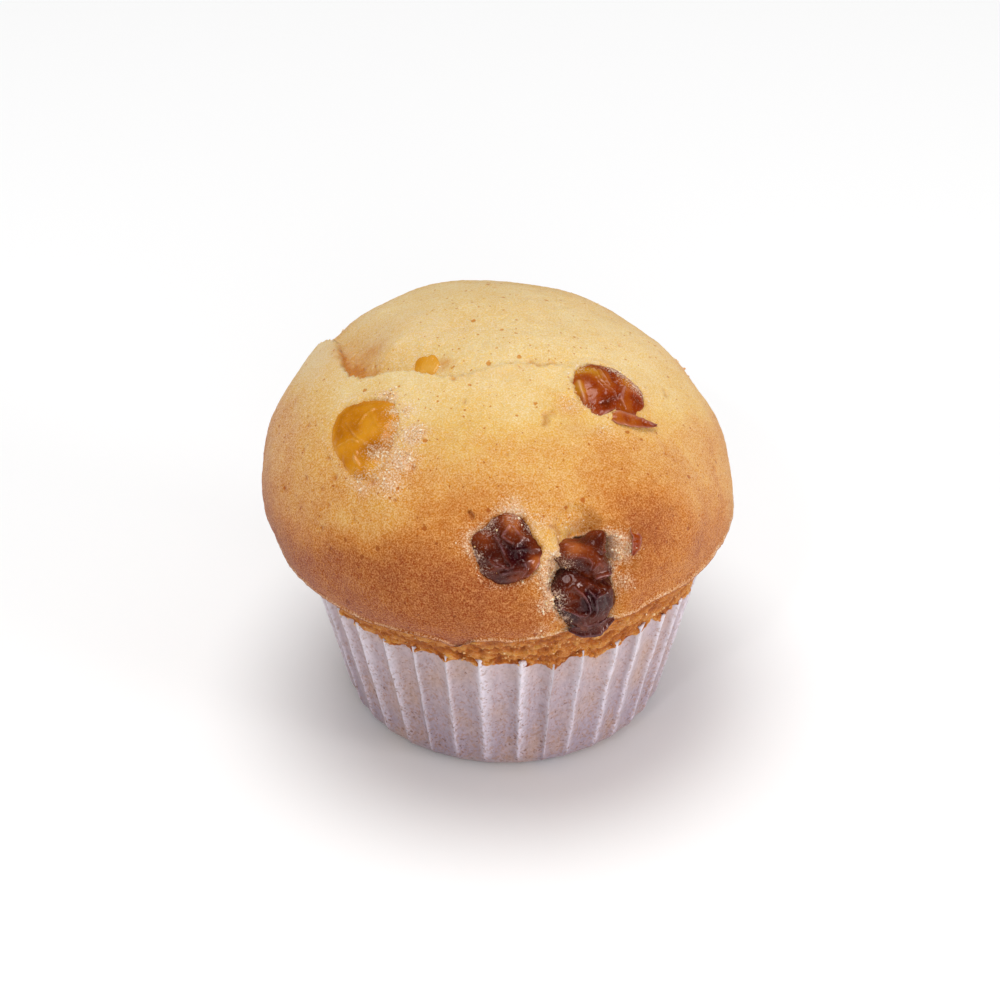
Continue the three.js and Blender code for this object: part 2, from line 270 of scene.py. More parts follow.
raisinDefaults = {
    "nudge": (0, 0),     # how far a raisin is shifted along its own axes
    "detail": 6,         # subdivisions of its skin
    "rim": 0.6,          # how dark the crust is painted round it, a painted shade at the edge of its opening
    "bright": 0,
    "cover": (),         # crumb over the raisin: x, y, radius, strength
    "ridges": (),        # creases in the skin, with a painted highlight along the raised ones: height, width and a line
    "tones": (),         # lighter and darker patches: x, y, radius, amount
    "crumbs": (),        # crumb that sticks to the skin: x, y, radius, strength
    "hug": False,
}
raisins = (
    {
        "name": "raisin_golden_front", "skin": "golden", "azimuth": -135.5, "rise": 45.5, "turn": -52,
        "sink": 1.2, "thick": 1.9, "opening": 0.6, "seed": 3, "wrinkle": 0.13, "lump": 0.2, "rim": 0.15,
        "cover": ((0.5, 8.6, 2.4, 1.0), (4, 7.6, 2.4, 1.0), (8.2, 5.6, 2.2, 1.0)),
        "outline": ((-3.4, -5.3), (-5.2, -5.1), (-6.4, -4.6), (-7.8, -3.2), (-8.2, -1.2), (-8.2, 0.8),
                    (-7.8, 3.2), (-6.9, 5.2), (-5.2, 6.2), (-2.4, 7.0), (0.6, 7.3), (3.4, 6.5), (5.6, 5.3),
                    (7.2, 3.2), (7.7, 1.2), (5.4, -1.0), (2.4, -2.9), (0.3, -4.2), (-1.8, -5.1)),
        "ridges": (
            (0.3, 0.16, (-3.8, -2.1), (-2.4, -1.0), (-1.4, -0.4), (0.2, 1.0), (1.8, 2.7), (3.1, 3.8)),
            (0.3, 0.16, (-5.4, 2.5), (-4.5, 1.1), (-2.9, 0.3)),
            (0.3, 0.16, (0.4, -3.9), (-0.1, -2.0), (-0.4, -0.5), (0.4, 0.5)),
            (0.3, 0.16, (2.1, 0.2), (3.1, -0.1), (4.4, 0.6), (5.6, -0.1)),
            (0.16, 0.16, (-1.4, -4.7), (-3.6, -4.5), (-5.4, -3.6)),
            (0.16, 0.2, (-4.9, 1.9), (-2.8, 3.0), (-0.6, 4.9)),
        ),
        "tones": ((-3, 2.5, 3.0, -0.12), (-6.5, 2, 2, 0.2), (0, -3.8, 2, 0.12), (2.5, 2.0, 2, -0.12)),
        "crumbs": ((-5.0, 5.6, 1.3, 0.8), (-1.8, 6.8, 1.7, 0.9), (1.2, 6.8, 2.3, 1.0), (4.0, 5.6, 2.6, 1.0),
                   (2.8, 3.4, 1.7, 0.75), (6.4, 3.4, 2.0, 0.9), (6.4, 0.4, 1.2, 0.6)),
    },
    {
        "name": "raisin_red_top", "skin": "red", "azimuth": -29.2, "rise": 56.9, "turn": -20, "sink": 1.9,
        "thick": 3.2, "nudge": (0.25, 0.5), "opening": 1.2, "seed": 5, "wrinkle": 0.2, "lump": 0.25,
        "rim": 0.3,
        "outline": ((-5.4, 3.6), (-3.3, 5.0), (-1.3, 5.6), (0.7, 5.3), (2.5, 3.8), (3.6, 2.7), (4.1, 1.1),
                    (4.3, -0.3), (4.7, -1.9), (4.7, -3.3), (3.2, -5.0), (0.7, -6.2), (-1.4, -6.1),
                    (-2.3, -5.3), (-3.1, -3.9), (-5.7, -3.6), (-6.4, -2.4), (-6.4, -0.1), (-6.1, 2.1)),
        "ridges": (
            (0.5, 0.3, (-4.7, 2.9), (-5.4, 1.6), (-6.3, -0.5)),
            (0.5, 0.2, (-1.4, 3.4), (-2.4, 1.3), (-2.3, -0.4), (-1.8, -2.0), (-2.0, -3.2)),
            (0.4, 0.2, (-0.6, 2.8), (-1.1, 1.8), (-1.7, -0.6)),
            (0.3, 0.3, (0.1, -1.7), (1.2, -2.9), (2.3, -4.4)),
            (0.45, 0.22, (0.1, -1.8), (-1.6, -3.4), (-1.8, -4.5)),
            (-0.5, 0.3, (1.3, 2.9), (0.1, 0.2), (0.1, -1.4)),
            (-0.35, 0.3, (-5.1, -2.2), (-3.6, -2.8), (-1.8, -2.9)),
            (0.35, 0.25, (-6.3, -2.4), (-5.9, -3.4), (-3.3, -3.9)),
        ),
        "tones": ((-2.0, 4.0, 1.7, 0.75), (-5.4, 2.8, 1.4, 0.45), (-3.6, -0.1, 2.6, 0.0),
                  (0.0, -4.4, 1.6, -0.05), (2.4, -1.5, 2.2, 0.3), (-1.3, -2.7, 1.0, -0.25),
                  (-4.1, -3.1, 1.4, -0.2)),
        "crumbs": ((2.9, 0.1, 1.6, 0.9), (3.2, -2.6, 1.4, 0.8), (2.4, 2.2, 1.2, 0.7), (-2.3, 4.9, 1.2, 0.5),
                   (-7.1, -1.3, 1.0, 0.6)),
    },
    {
        "name": "raisin_dark_middle", "skin": "dark", "azimuth": -88, "rise": 24.5, "turn": 10, "sink": 2.3,
        "thick": 3.3, "opening": 1.1, "seed": 8, "wrinkle": 0.34, "lump": 0.35, "bright": -0.08,
        "rim": 0.45,
        "outline": ((-5.1, 2.8), (-2.9, 3.6), (-2.0, 4.5), (0.6, 5.2), (1.5, 5.1), (3.1, 4.3), (3.7, 3.6),
                    (4.2, 0.7), (5.3, -1.7), (4.1, -2.8), (2.9, -4.4), (1.5, -5.1), (-0.5, -5.2),
                    (-2.2, -5.1), (-3.8, -4.1), (-4.8, -3.1), (-4.8, -1.8), (-5.1, -0.2)),
        "ridges": (
            (0.6, 0.2, (0.9, 3.2), (-0.5, 1.9), (0.5, 0.5)),
            (0.5, 0.2, (1.3, 2.9), (1.7, 2.0), (2.2, 1.3)),
            (0.45, 0.2, (-1.5, 2.4), (-1.0, 0.3), (-0.6, -1.4), (-0.2, -2.8)),
            (0.45, 0.2, (-3.0, -0.9), (-2.4, -2.1), (-1.7, -2.7), (-0.3, -3.0)),
            (0.45, 0.22, (1.9, -2.7), (1.9, -3.6), (1.0, -4.7)),
            (0.4, 0.22, (-1.9, -3.7), (-0.2, -3.7), (1.4, -3.8)),
            (0.4, 0.2, (-2.1, -1.6), (-1.4, -2.4), (-0.8, -3.2)),
            (0.5, 0.25, (4.9, -1.7), (3.5, -3.3), (1.9, -4.7)),
            (-0.5, 0.5, (-0.0, 0.1), (0.3, -1.3), (0.8, -2.3)),
            (-0.35, 0.5, (2.0, -0.4), (2.9, -1.9), (3.8, -2.1)),
        ),
        "tones": ((1.7, 3.9, 1.6, 0.75), (-3.3, 2.0, 2.0, 0.22), (3.8, -3.0, 1.1, 0.6),
                  (0.8, -0.8, 1.9, -0.42), (-3.4, -2.6, 1.8, 0.08), (3.2, 1.2, 1.5, 0.2),
                  (-0.4, -4.4, 1.6, 0.12)),
        "crumbs": ((-2.2, 4.4, 1.5, 0.9), (2.4, 4.8, 1.5, 0.75), (4.0, 2.4, 1.1, 0.75),
                   (-5.2, 0.2, 1.3, 0.8), (-4.9, -2.6, 1.3, 0.6)),
    },
    {
        "name": "raisin_dark_split", "skin": "dark", "azimuth": -72, "rise": 2, "turn": 95, "sink": 2.7,
        "thick": 3.6, "nudge": (-1.7, -0.5), "opening": 0.8, "seed": 11, "wrinkle": 0.3, "lump": 0.35,
        "bright": -0.28, "rim": 0.45,
        "outline": ((6.8, 2.1), (6.5, 0.1), (5.4, -1.5), (4.1, -3.1), (3.1, -4.1), (2.1, -4.3),
                    (-0.1, -4.1), (-1.6, -3.0), (-3.2, -1.8), (-4.5, -0.1), (-3.9, 2.2), (-2.5, 3.1),
                    (-0.1, 4.3), (2.0, 5.0), (3.7, 5.2), (5.3, 4.5), (6.3, 3.5)),
        "ridges": (
            (0.8, 0.2, (5.6, 2.1), (4.4, 1.3), (3.4, 0.9), (2.4, 0.6), (1.5, 0.7), (1.2, 1.5), (1.6, 2.6),
             (2.4, 3.6), (3.1, 4.5)),
            (-0.35, 0.6, (4.4, 0.4), (2.8, -0.2), (1.0, -0.1), (0.2, 1.2)),
            (0.45, 0.2, (4.0, 0.0), (2.7, -0.6), (2.8, -1.6), (2.8, -2.3)),
            (0.45, 0.2, (2.5, -0.6), (0.9, -0.5), (-0.2, 0.3)),
            (0.3, 0.2, (5.2, -0.4), (4.4, -1.2), (3.6, -1.4)),
            (0.3, 0.2, (-0.6, 2.0), (-1.6, 1.2), (-1.8, -0.4)),
        ),
        "tones": ((2.4, 0.4, 1.8, -0.4), (3.6, 3.2, 1.6, 0.22), (0.0, -2.4, 2.2, 0.05),
                  (-1.6, 1.8, 1.8, 0.22), (5.2, -0.6, 1.5, 0.2)),
        "crumbs": ((2.6, 5.2, 1.1, 0.8), (0.4, 4.6, 1.1, 0.8), (4.6, 4.8, 1.2, 0.8)),
    },
    {
        "name": "raisin_brown_split", "skin": "dark", "azimuth": -67.5, "rise": 18, "turn": 22, "sink": 3.0,
        "thick": 3.2, "opening": 0.8, "seed": 14, "wrinkle": 0.24, "lump": 0.3, "bright": -0.02,
        "rim": 0.45, "cover": ((4.0, -1.0, 1.7, 0.9), (-5.6, 2.2, 1.7, 0.8)),
        "outline": ((-4.8, 2.6), (-4.8, 3.8), (-3.9, 4.4), (-2.4, 4.2), (-1.2, 3.5), (-0.3, 2.9),
                    (0.8, 2.5), (2.4, 2.4), (3.6, 2.0), (3.4, 0.9), (2.3, 0.0), (1.4, -1.2), (1.3, -2.6),
                    (1.3, -3.9), (-0.2, -4.4), (-2.0, -3.8), (-3.4, -2.0), (-4.4, 0.4)),
        "ridges": (
            (0.35, 0.2, (-1.6, 0.7), (-1.6, -0.2), (-2.3, -0.9)),
            (0.35, 0.2, (-2.0, -1.3), (-0.7, -0.9), (-0.4, -1.9)),
            (0.6, 0.24, (-2.1, -2.6), (-1.0, -3.0), (0.4, -3.7)),
            (0.3, 0.2, (0.6, 0.9), (0.8, 0.0), (1.5, -0.4)),
            (0.3, 0.2, (-4.0, 2.2), (-2.6, 1.9), (-1.9, 1.1)),
        ),
        "tones": ((-2.9, 3.2, 1.6, 0.6), (1.4, 0.8, 1.8, 0.06), (-0.6, -2.8, 1.2, 0.1),
                  (-3.0, 0.6, 1.8, -0.25)),
        "crumbs": ((3.4, -0.8, 1.3, 0.9), (-4.9, 1.6, 1.4, 0.9), (1.4, -3.4, 0.9, 0.6)),
    },
    {
        "name": "raisin_amber_fold", "skin": "golden", "azimuth": -149, "rise": 73.2, "turn": 70,
        "sink": 0.1, "thick": 0.5, "opening": 0.25, "seed": 17, "wrinkle": 0.02, "lump": 0.03, "detail": 5,
        "rim": 0.15, "hug": True, "bright": 0.3,
        "outline": ((-1.3, 0.6), (-0.9, 1.4), (-0.2, 1.5), (0.8, 0.9), (1.7, 0.7), (2.1, -0.5), (2.0, -2.1),
                    (1.4, -3.1), (-0.1, -2.4), (-1.4, -0.9)),
    },
    {
        "name": "raisin_dark_back", "skin": "dark", "azimuth": 62, "rise": 22, "turn": 25, "sink": 2.6,
        "thick": 3.1, "opening": 1.5, "seed": 21, "wrinkle": 0.45, "lump": 0.4,
        "half": (6.6, 5.2),
        "tones": ((3.5, 1.5, 2.0, 0.4), (-2.0, -1.0, 2.5, -0.3)),
        "crumbs": ((-6.0, 1.0, 2.0, 0.9), (2.0, 5.0, 1.6, 0.8)),
    },
    {
        "name": "raisin_golden_back", "skin": "golden", "azimuth": 128, "rise": 18, "turn": -15,
        "sink": 2.3, "thick": 3.0, "opening": 1.2, "seed": 24, "wrinkle": 0.3, "lump": 0.3,
        "half": (7.4, 5.4),
        "tones": ((-3.0, 1.0, 2.5, -0.2), (4.0, -2.0, 2.0, 0.15)),
        "crumbs": ((5.5, 2.5, 3.0, 1.0), (-5.0, -3.0, 2.0, 0.7)),
    },
    {
        "name": "raisin_red_side", "skin": "red", "azimuth": 28, "rise": 6, "turn": 70, "sink": 2.8,
        "thick": 3.2, "opening": 1.5, "seed": 28, "wrinkle": 0.45, "lump": 0.4,
        "half": (6.2, 5.0),
        "tones": ((-3.5, 1.5, 1.8, 0.4), (2.5, -1.5, 2.2, -0.25)),
        "crumbs": ((4.0, 3.6, 2.2, 0.9), (-5.2, -2.0, 1.5, 0.7)),
    },
)


raisins = tuple({**raisinDefaults, **one} for one in raisins)


def raisinFrame(one):   # middle and axes of the plane that a raisin lies in, at the cap's surface
    middle, axes = localFrame(one["azimuth"], one["rise"], one["turn"])
    return middle + one["nudge"][0] * axes[0] + one["nudge"][1] * axes[1], axes


def raisinOutline(one):   # the hidden raisins have plain uneven ovals
    if "outline" in one:
        return one["outline"]
    longHalf, wideHalf = one["half"]
    corners = []
    for index in range(12):
        angle = index * math.pi / 6
        uneven = 1 + 0.16 * (draw(index, one["seed"]) - 0.5)
        corners.append((longHalf * uneven * math.cos(angle), wideHalf * uneven * math.sin(angle)))
    return corners


def insideShare(points, frameOf, outline):   # 0 in an outline's middle, 1 on it, and 9 far off its plane
    middle, axes = frameOf
    local = (points - middle) @ axes.T
    centre = np.mean(outline, axis=0)
    flat = local[:, :2] - centre
    reach = outlineReach(outline, np.arctan2(flat[:, 1], flat[:, 0]), centre)
    share = np.hypot(flat[:, 0], flat[:, 1]) / reach
    return np.where(np.abs(local[:, 2]) < 9, share, 9.0)


def coverAt(local, one):   # where crumb lies over a raisin, which dips under it
    amount = np.zeros(len(local))
    for x, y, radius, strength in one["cover"]:
        gap = np.hypot(local[:, 0] - x, local[:, 1] - y)
        amount = np.maximum(amount, strength * bell(gap, radius))
    return amount


def foldRelief(points):
    line = np.array(fold["line"], float)
    fine = np.linspace(0, len(line) - 1, fold["steps"] + 1)
    first = np.clip(fine.astype(int), 0, len(line) - 2)
    share = (fine - first)[:, None]
    before, here = line[np.clip(first - 1, 0, None)], line[first]
    there, beyond = line[first + 1], line[np.clip(first + 2, None, len(line) - 1)]
    path = 0.5 * (2 * here + (there - before) * share
                  + (2 * before - 5 * here + 4 * there - beyond) * share ** 2
                  + (3 * here - before - 3 * there + beyond) * share ** 3)
    ahead = np.gradient(path, axis=0)
    ahead /= np.linalg.norm(ahead, axis=1)[:, None]
    relief = np.zeros(len(points))
    shade = np.zeros(len(points))
    foldEdgeShade = np.zeros(len(points))
    high = np.where(points[:, 2] > fold["lowest"])[0]
    uneven = np.zeros(len(points))
    uneven[high] = sum(amount * noiseAt(points[high], size, shift) for amount, size, shift in fold["ragged"])
    tree = KDTree(len(path))
    for index, (x, y) in enumerate(path):
        tree.insert((x, y, 0), index)
    tree.balance()
    for index in high:
        x, y, _ = points[index]
        _, nearest, gap = tree.find((x, y, 0))
        if gap > fold["width"] + 8:
            continue
        progress = nearest / fold["steps"]
        offset = (x - path[nearest][0], y - path[nearest][1])
        behind = ahead[nearest][0] * offset[1] - ahead[nearest][1] * offset[0] + uneven[index]
        weak = smooth(0.5, 0.85, progress)
        size = (1 - 0.9 * weak) * (0.3 + 0.7 * smooth(0, 0.2, progress))
        if behind <= 0:
            relief[index] = fold["crest"] * size * math.exp(-(gap / fold["crestWidth"]) ** 2)
            continue
        width = fold["width"] * (1 - 0.6 * weak)
        past = max(0.0, gap - abs(behind)) / 3
        step = smooth(0, fold["wall"], behind) * (1 - smooth(0.15 * width, width, behind)) * math.exp(-past)
        relief[index] = -fold["depth"] * size * step
        shade[index] = size * step
        # painted shade: a narrow dark line just behind the edge of the fold
        foldEdgeShade[index] = size * math.exp(-((behind - 0.55) / 0.4) ** 2 - past) * (1 - smooth(0.3, 0.6, progress))
    return relief, shade, foldEdgeShade


def hollowRelief(points):
    relief = np.zeros(len(points))
    for azimuth, rise, radius, depth in hollows:
        gap = gapTo(points, azimuth, rise)
        relief -= depth * (1 - smooth(0.45, 1, gap / radius))
    return relief


crust = {
    "columns": 400,
    "rows": 150,
    "plugRows": 10,        # rings of the part inside the case
    "underRows": 14,       # rings under the lip
    "lumps": (             # height, length, direction and shift of each wave
        (0.12, 19, (0.8, 0.5, 0.3), 0.4), (0.10, 14, (-0.4, 0.8, 0.5), 2.1),
        (0.06, 10, (0.5, -0.3, 0.8), 4.0),
    ),
    "grain": 0.055,        # height of the fine roughness
    "poreCount": 230,
    "poreSeed": 12,
    "sideSheen": ((-172, 0.3), (-138, 0), (120, 0), (160, 0.3)),   # azimuth and how pale the grain is painted: a painted sheen along the left side
    "fineMargin": 2.4,     # finer faces reach this far round each raisin
    "fineLip": 2.6,        # this many degrees off the lip
    "poreReach": 1.4,      # and this far round each large pore
    "turnIn": 4.2,         # how far the underside of the lip runs in
    "turnDown": 1.6,
    "plugFoot": 22.4,      # radius on the floor of the case
    "plugBase": 23.2,      # radius from which it widens as the case does
    "plugTop": 28,
    "ringRadius": 34,      # where the raggedness of the lip is drawn
    "sheen": 0.22,
}

baking = {   # rises at which the crust turns from cream to gold and from gold to brown, round the muffin
    "cream": ((-174, 56), (-160, 64), (-140, 70), (-115, 74), (-95, 77), (-65, 75), (-45, 68), (-20, 60),
              (0, 58), (30, 60), (80, 66), (130, 60), (160, 40)),
    "gold": ((-172, 23), (-150, 27), (-125, 28), (-115, 35), (-105, 42), (-95, 44), (-85, 40), (-75, 36),
             (-65, 38), (-55, 44), (-45, 38), (-35, 33), (-25, 26), (-15, 14), (-5, 4), (20, 6), (60, 20),
             (110, 24), (160, 8)),
    "brown": ((-165, -14), (-150, -8), (-135, 2), (-125, 13), (-115, 15), (-105, 13), (-95, 10), (-85, -2),
              (-75, -10), (-65, -14), (-55, -20), (-45, -28), (-30, -34), (-10, -40), (20, -36), (60, -8),
              (100, 4), (140, -4)),
    "patches": (   # azimuth, rise, radius, amount
        # the first patch, left of the top red raisin, is partly painted shade of the hollow there
        (-50, 57, 4, 0.08), (-52.8, 62, 2.4, 0.13), (-52, 21, 5, 0.14), (-54, 12, 6, 0.06),
        (-53, -3, 5, -0.08), (-58, 37, 7, 0.09), (-42, 8, 5, 0.1), (-83, -3, 3, 0.1), (-54, 24, 5, 0.12),
        (-79, -7, 4.5, -0.28), (-76, 22, 4, -0.30), (-66, -6, 3, -0.2), (-112, 40, 5, 0.06),
        (-92, 40, 6, 0.05), (-100, 2, 8, 0.05),
    ),
}

marks = {   # single pores and cracks: azimuth and rise, then half width and depth
    "pores": ((-151, 33.6, 0.45), (-156.8, 38.7, 0.4), (-141.4, 37, 0.45), (-135.6, 33.6, 0.6),
              (-114.5, 45.1, 0.6), (-151.1, 18.9, 0.5), (-144.7, 27.8, 0.5), (-134.2, 17.7, 0.55),
              (-124.1, 37.5, 0.6), (-114.8, 72, 0.55), (-103.2, 65.8, 0.4), (-125.4, 25.3, 0.4),
              (-116.5, 34.9, 0.4), (6.6, 56.3, 0.5)),
    "cracks": (
        (0.32, 0.5, (-51.5, 76.3), (-50.5, 74.6), (-47.9, 73.6), (-41.9, 73.1), (-37.1, 72.6)),
        (0.42, 0.6, (-63.1, 60.6), (-66.7, 60.3), (-67.6, 58.7), (-69.2, 57.8)),
        (0.22, 0.4, (-9.9, 43.4), (-11.1, 42.3), (-13.6, 42.5)),
        (0.3, 0.6, (-97.2, 35.0), (-96.4, 34.2), (-96.2, 33.4)),
        (0.3, 0.5, (-77.0, 29.6), (-75.7, 28.6), (-75.0, 26.4), (-75.6, 23.0)),
        (1.4, 0.14, (-107.5, 74), (-90.5, 75.8), (-74.6, 74.7), (-53.3, 75.9)),
    ),
}

foldShadeSpots = (   # painted shade, warm orange, where the fold, the hollows and the split shade the crust: azimuth, rise, radius, strength
    (-200, 46.8, 1.3, 0.1), (-195.7, 49, 1.3, 0.15), (-190.6, 50.9, 1.3, 0.3), (-185.5, 52.4, 1.2, 0.55),
    (-180.3, 54.1, 1.2, 0.6), (-177.1, 56.1, 1.2, 0.6), (-173.5, 58.1, 1.2, 0.55), (-169.4, 60, 1.1, 0.4),
    (-167, 61.9, 1.0, 0.3), (-166.4, 63.5, 1.0, 0.2), (-182, 58.5, 4.2, 0.42), (-184.2, 62, 1.6, 0.4),
    (-135, 76.2, 1.1, 0.5), (-129.6, 76.4, 0.9, 0.35), (-71, 26, 2.2, 0.35), (-57, 19, 2.2, 0.6),
)

halos = (   # pale torn crumb: azimuth, rise, radius, strength
    (-119, 45, 2.2, 0.4), (-127, 36, 2.4, 0.45), (-118, 55, 1.8, 0.6), (-138, 60, 1.8, 0.7),
    (-126, 60, 1.8, 0.6), (-53.5, 61, 2.2, 0.45), (-48, 50, 2.2, 0.35), (-86, 35, 2.6, 0.75),
    (-96, 27, 2.2, 0.6), (-79, 31, 2.0, 0.5), (-61.5, 17, 2.3, 1.0), (-77.5, 18.5, 2.0, 1.0),
    (-79, 14, 2.4, 1.0), (-79.5, 9, 1.5, 0.9), (-81, 5, 1.5, 0.9), (-62, 6, 1.6, 0.6), (-82, -6, 1.6, 0.4),
    (-71, 26, 3.0, 0.35), (-26, 62, 2.4, 0.4), (-23, 50, 2.0, 0.3), (62, 33, 3.0, 0.7), (50, 20, 3.0, 0.5),
    (118, 22, 4.0, 0.8), (140, 26, 3.0, 0.5), (30, 18, 3.0, 0.7),
)


def lineGap(points, line):   # distance from points to a broken line, in as many dimensions as both have
    best = np.full(len(points), 1e9)
    for start, end in zip(line[:-1], line[1:]):
        run = end - start
        share = np.clip((points - start) @ run / (run @ run), 0, 1)
        best = np.minimum(best, np.linalg.norm(points - start - share[:, None] * run, axis=1))
    return best


def crustTemplate():   # rings from the foot to the top, finer round the raisins, the fold and the lip
    bm = sphereOf(crust["columns"], crust["rows"])
    bm.verts.ensure_lookup_table()
    points = np.array([vert.co[:] for vert in bm.verts])
    azimuth, rise, share = crustSpots(points)
    spots = capPoints(azimuth, rise)
    fine = np.zeros(len(points), bool)
    for one in raisins:
        longest = max(math.hypot(x, y) for x, y in raisinOutline(one))
        reach = longest + crust["fineMargin"]
        fine |= gapTo(spots, one["azimuth"], one["rise"]) < reach
    shade = foldRelief(spots)[1]
    fine |= shade > 0.3
    fine |= np.abs(rise - lipRise(azimuth)) < crust["fineLip"]
    for a, r, _ in marks["pores"]:
        fine |= gapTo(spots, a, r) < crust["poreReach"]
    fine &= share >= 0
    edges = [edge for edge in bm.edges if all(fine[vert.index] for vert in edge.verts)]
    bmesh.ops.subdivide_edges(bm, edges=edges, cuts=1, use_grid_fill=True)
    sortVerts(bm)
    return bm


def crustSpots(points):   # azimuth, rise, and the station under the lip as a share below 0
    azimuth, way = sphereSpots(points)
    row = way * crust["rows"]
    lipRow = crust["plugRows"] + crust["underRows"]
    share = (row - lipRow) / (crust["rows"] - lipRow)
    lowest = lipRise(azimuth)
    rise = lowest + (90 - lowest) * np.clip(share, 0, 1)
    return azimuth, rise, np.where(row < lipRow, row / lipRow - 1, share)


def underPoints(azimuth, station, lip):   # from the rounded lip in under the cap, then down inside the case
    turnIn, turnDown, plugTop = crust["turnIn"], crust["turnDown"], crust["plugTop"]
    lipReach = np.hypot(lip[:, 0], lip[:, 1])
    plugShare = crust["plugRows"] / (crust["plugRows"] + crust["underRows"])
    stations = np.array((-1, -1 + 0.15 * plugShare, -1 + plugShare, -0.45, -0.28, -0.16, -0.07, 0))
    inward = np.array((0, 0, 0, turnIn, 3.0, 1.5, 0.5, 0))
    lower = np.array((0, 0, 0, turnDown, -0.6, -0.35, 0.12, 0))
    reach = lipReach - np.interp(station, stations, inward)
    height = lip[:, 2] - np.interp(station, stations, lower)
    bandReach = crust["plugBase"] + paperCase["flare"] * plugTop
    plugReach = np.interp(station, stations[:4], (0, crust["plugFoot"], bandReach, 0))
    plugReach = np.where(station > stations[2], bandReach + (lipReach - turnIn - bandReach)
                         * (station - stations[2]) / (stations[3] - stations[2]), plugReach)
    plugHeight = np.interp(station, stations[:4], (1, 1, plugTop, 0))
    plugHeight = np.where(station > stations[2], plugTop + (lip[:, 2] - turnDown - plugTop)
                          * (station - stations[2]) / (stations[3] - stations[2]), plugHeight)
    plug = station < stations[3]
    return ringed(azimuth, np.where(plug, plugReach, reach), np.where(plug, plugHeight, height))


def poreSpots():   # where the small open pores lie, and how wide each one is
    rng = np.random.RandomState(crust["poreSeed"])
    count = crust["poreCount"]
    azimuth = rng.uniform(-180, 180, count)
    rise = np.degrees(np.arcsin(rng.uniform(-0.2, 0.98, count)))
    size = 0.13 + 0.22 * rng.random_sample(count) ** 2.2
    low = smooth(62, 35, rise)
    keep = rng.random_sample(count) < 0.2 + 0.8 * low
    spots = [capPoints(a, r) for a, r in zip(azimuth[keep], rise[keep])]
    sizes = list(size[keep])
    for a, r, wide in marks["pores"]:
        spots.append(capPoints(a, r))
        sizes.append(0.7 * wide)
    return np.array(spots), np.array(sizes)


def bakedAt(azimuth, rise, points):   # 0 for pale cream to 1 for the deepest brown
    cream = around(azimuth, baking["cream"])
    gold = around(azimuth, baking["gold"])
    brown = around(azimuth, baking["brown"])
    sway = 5 * noiseAt(points, 9, 3) + 3 * noiseAt(points, 3.5, 5)
    level = 0.06 + 0.40 * smooth(0, 1, (cream - rise - sway) / (cream - gold))
    level += 0.38 * smooth(0, 1, (gold - rise - sway) / (gold - brown))
    for a, r, radius, amount in baking["patches"]:
        level += amount * bell(gapTo(points, a, r), radius)
    return level


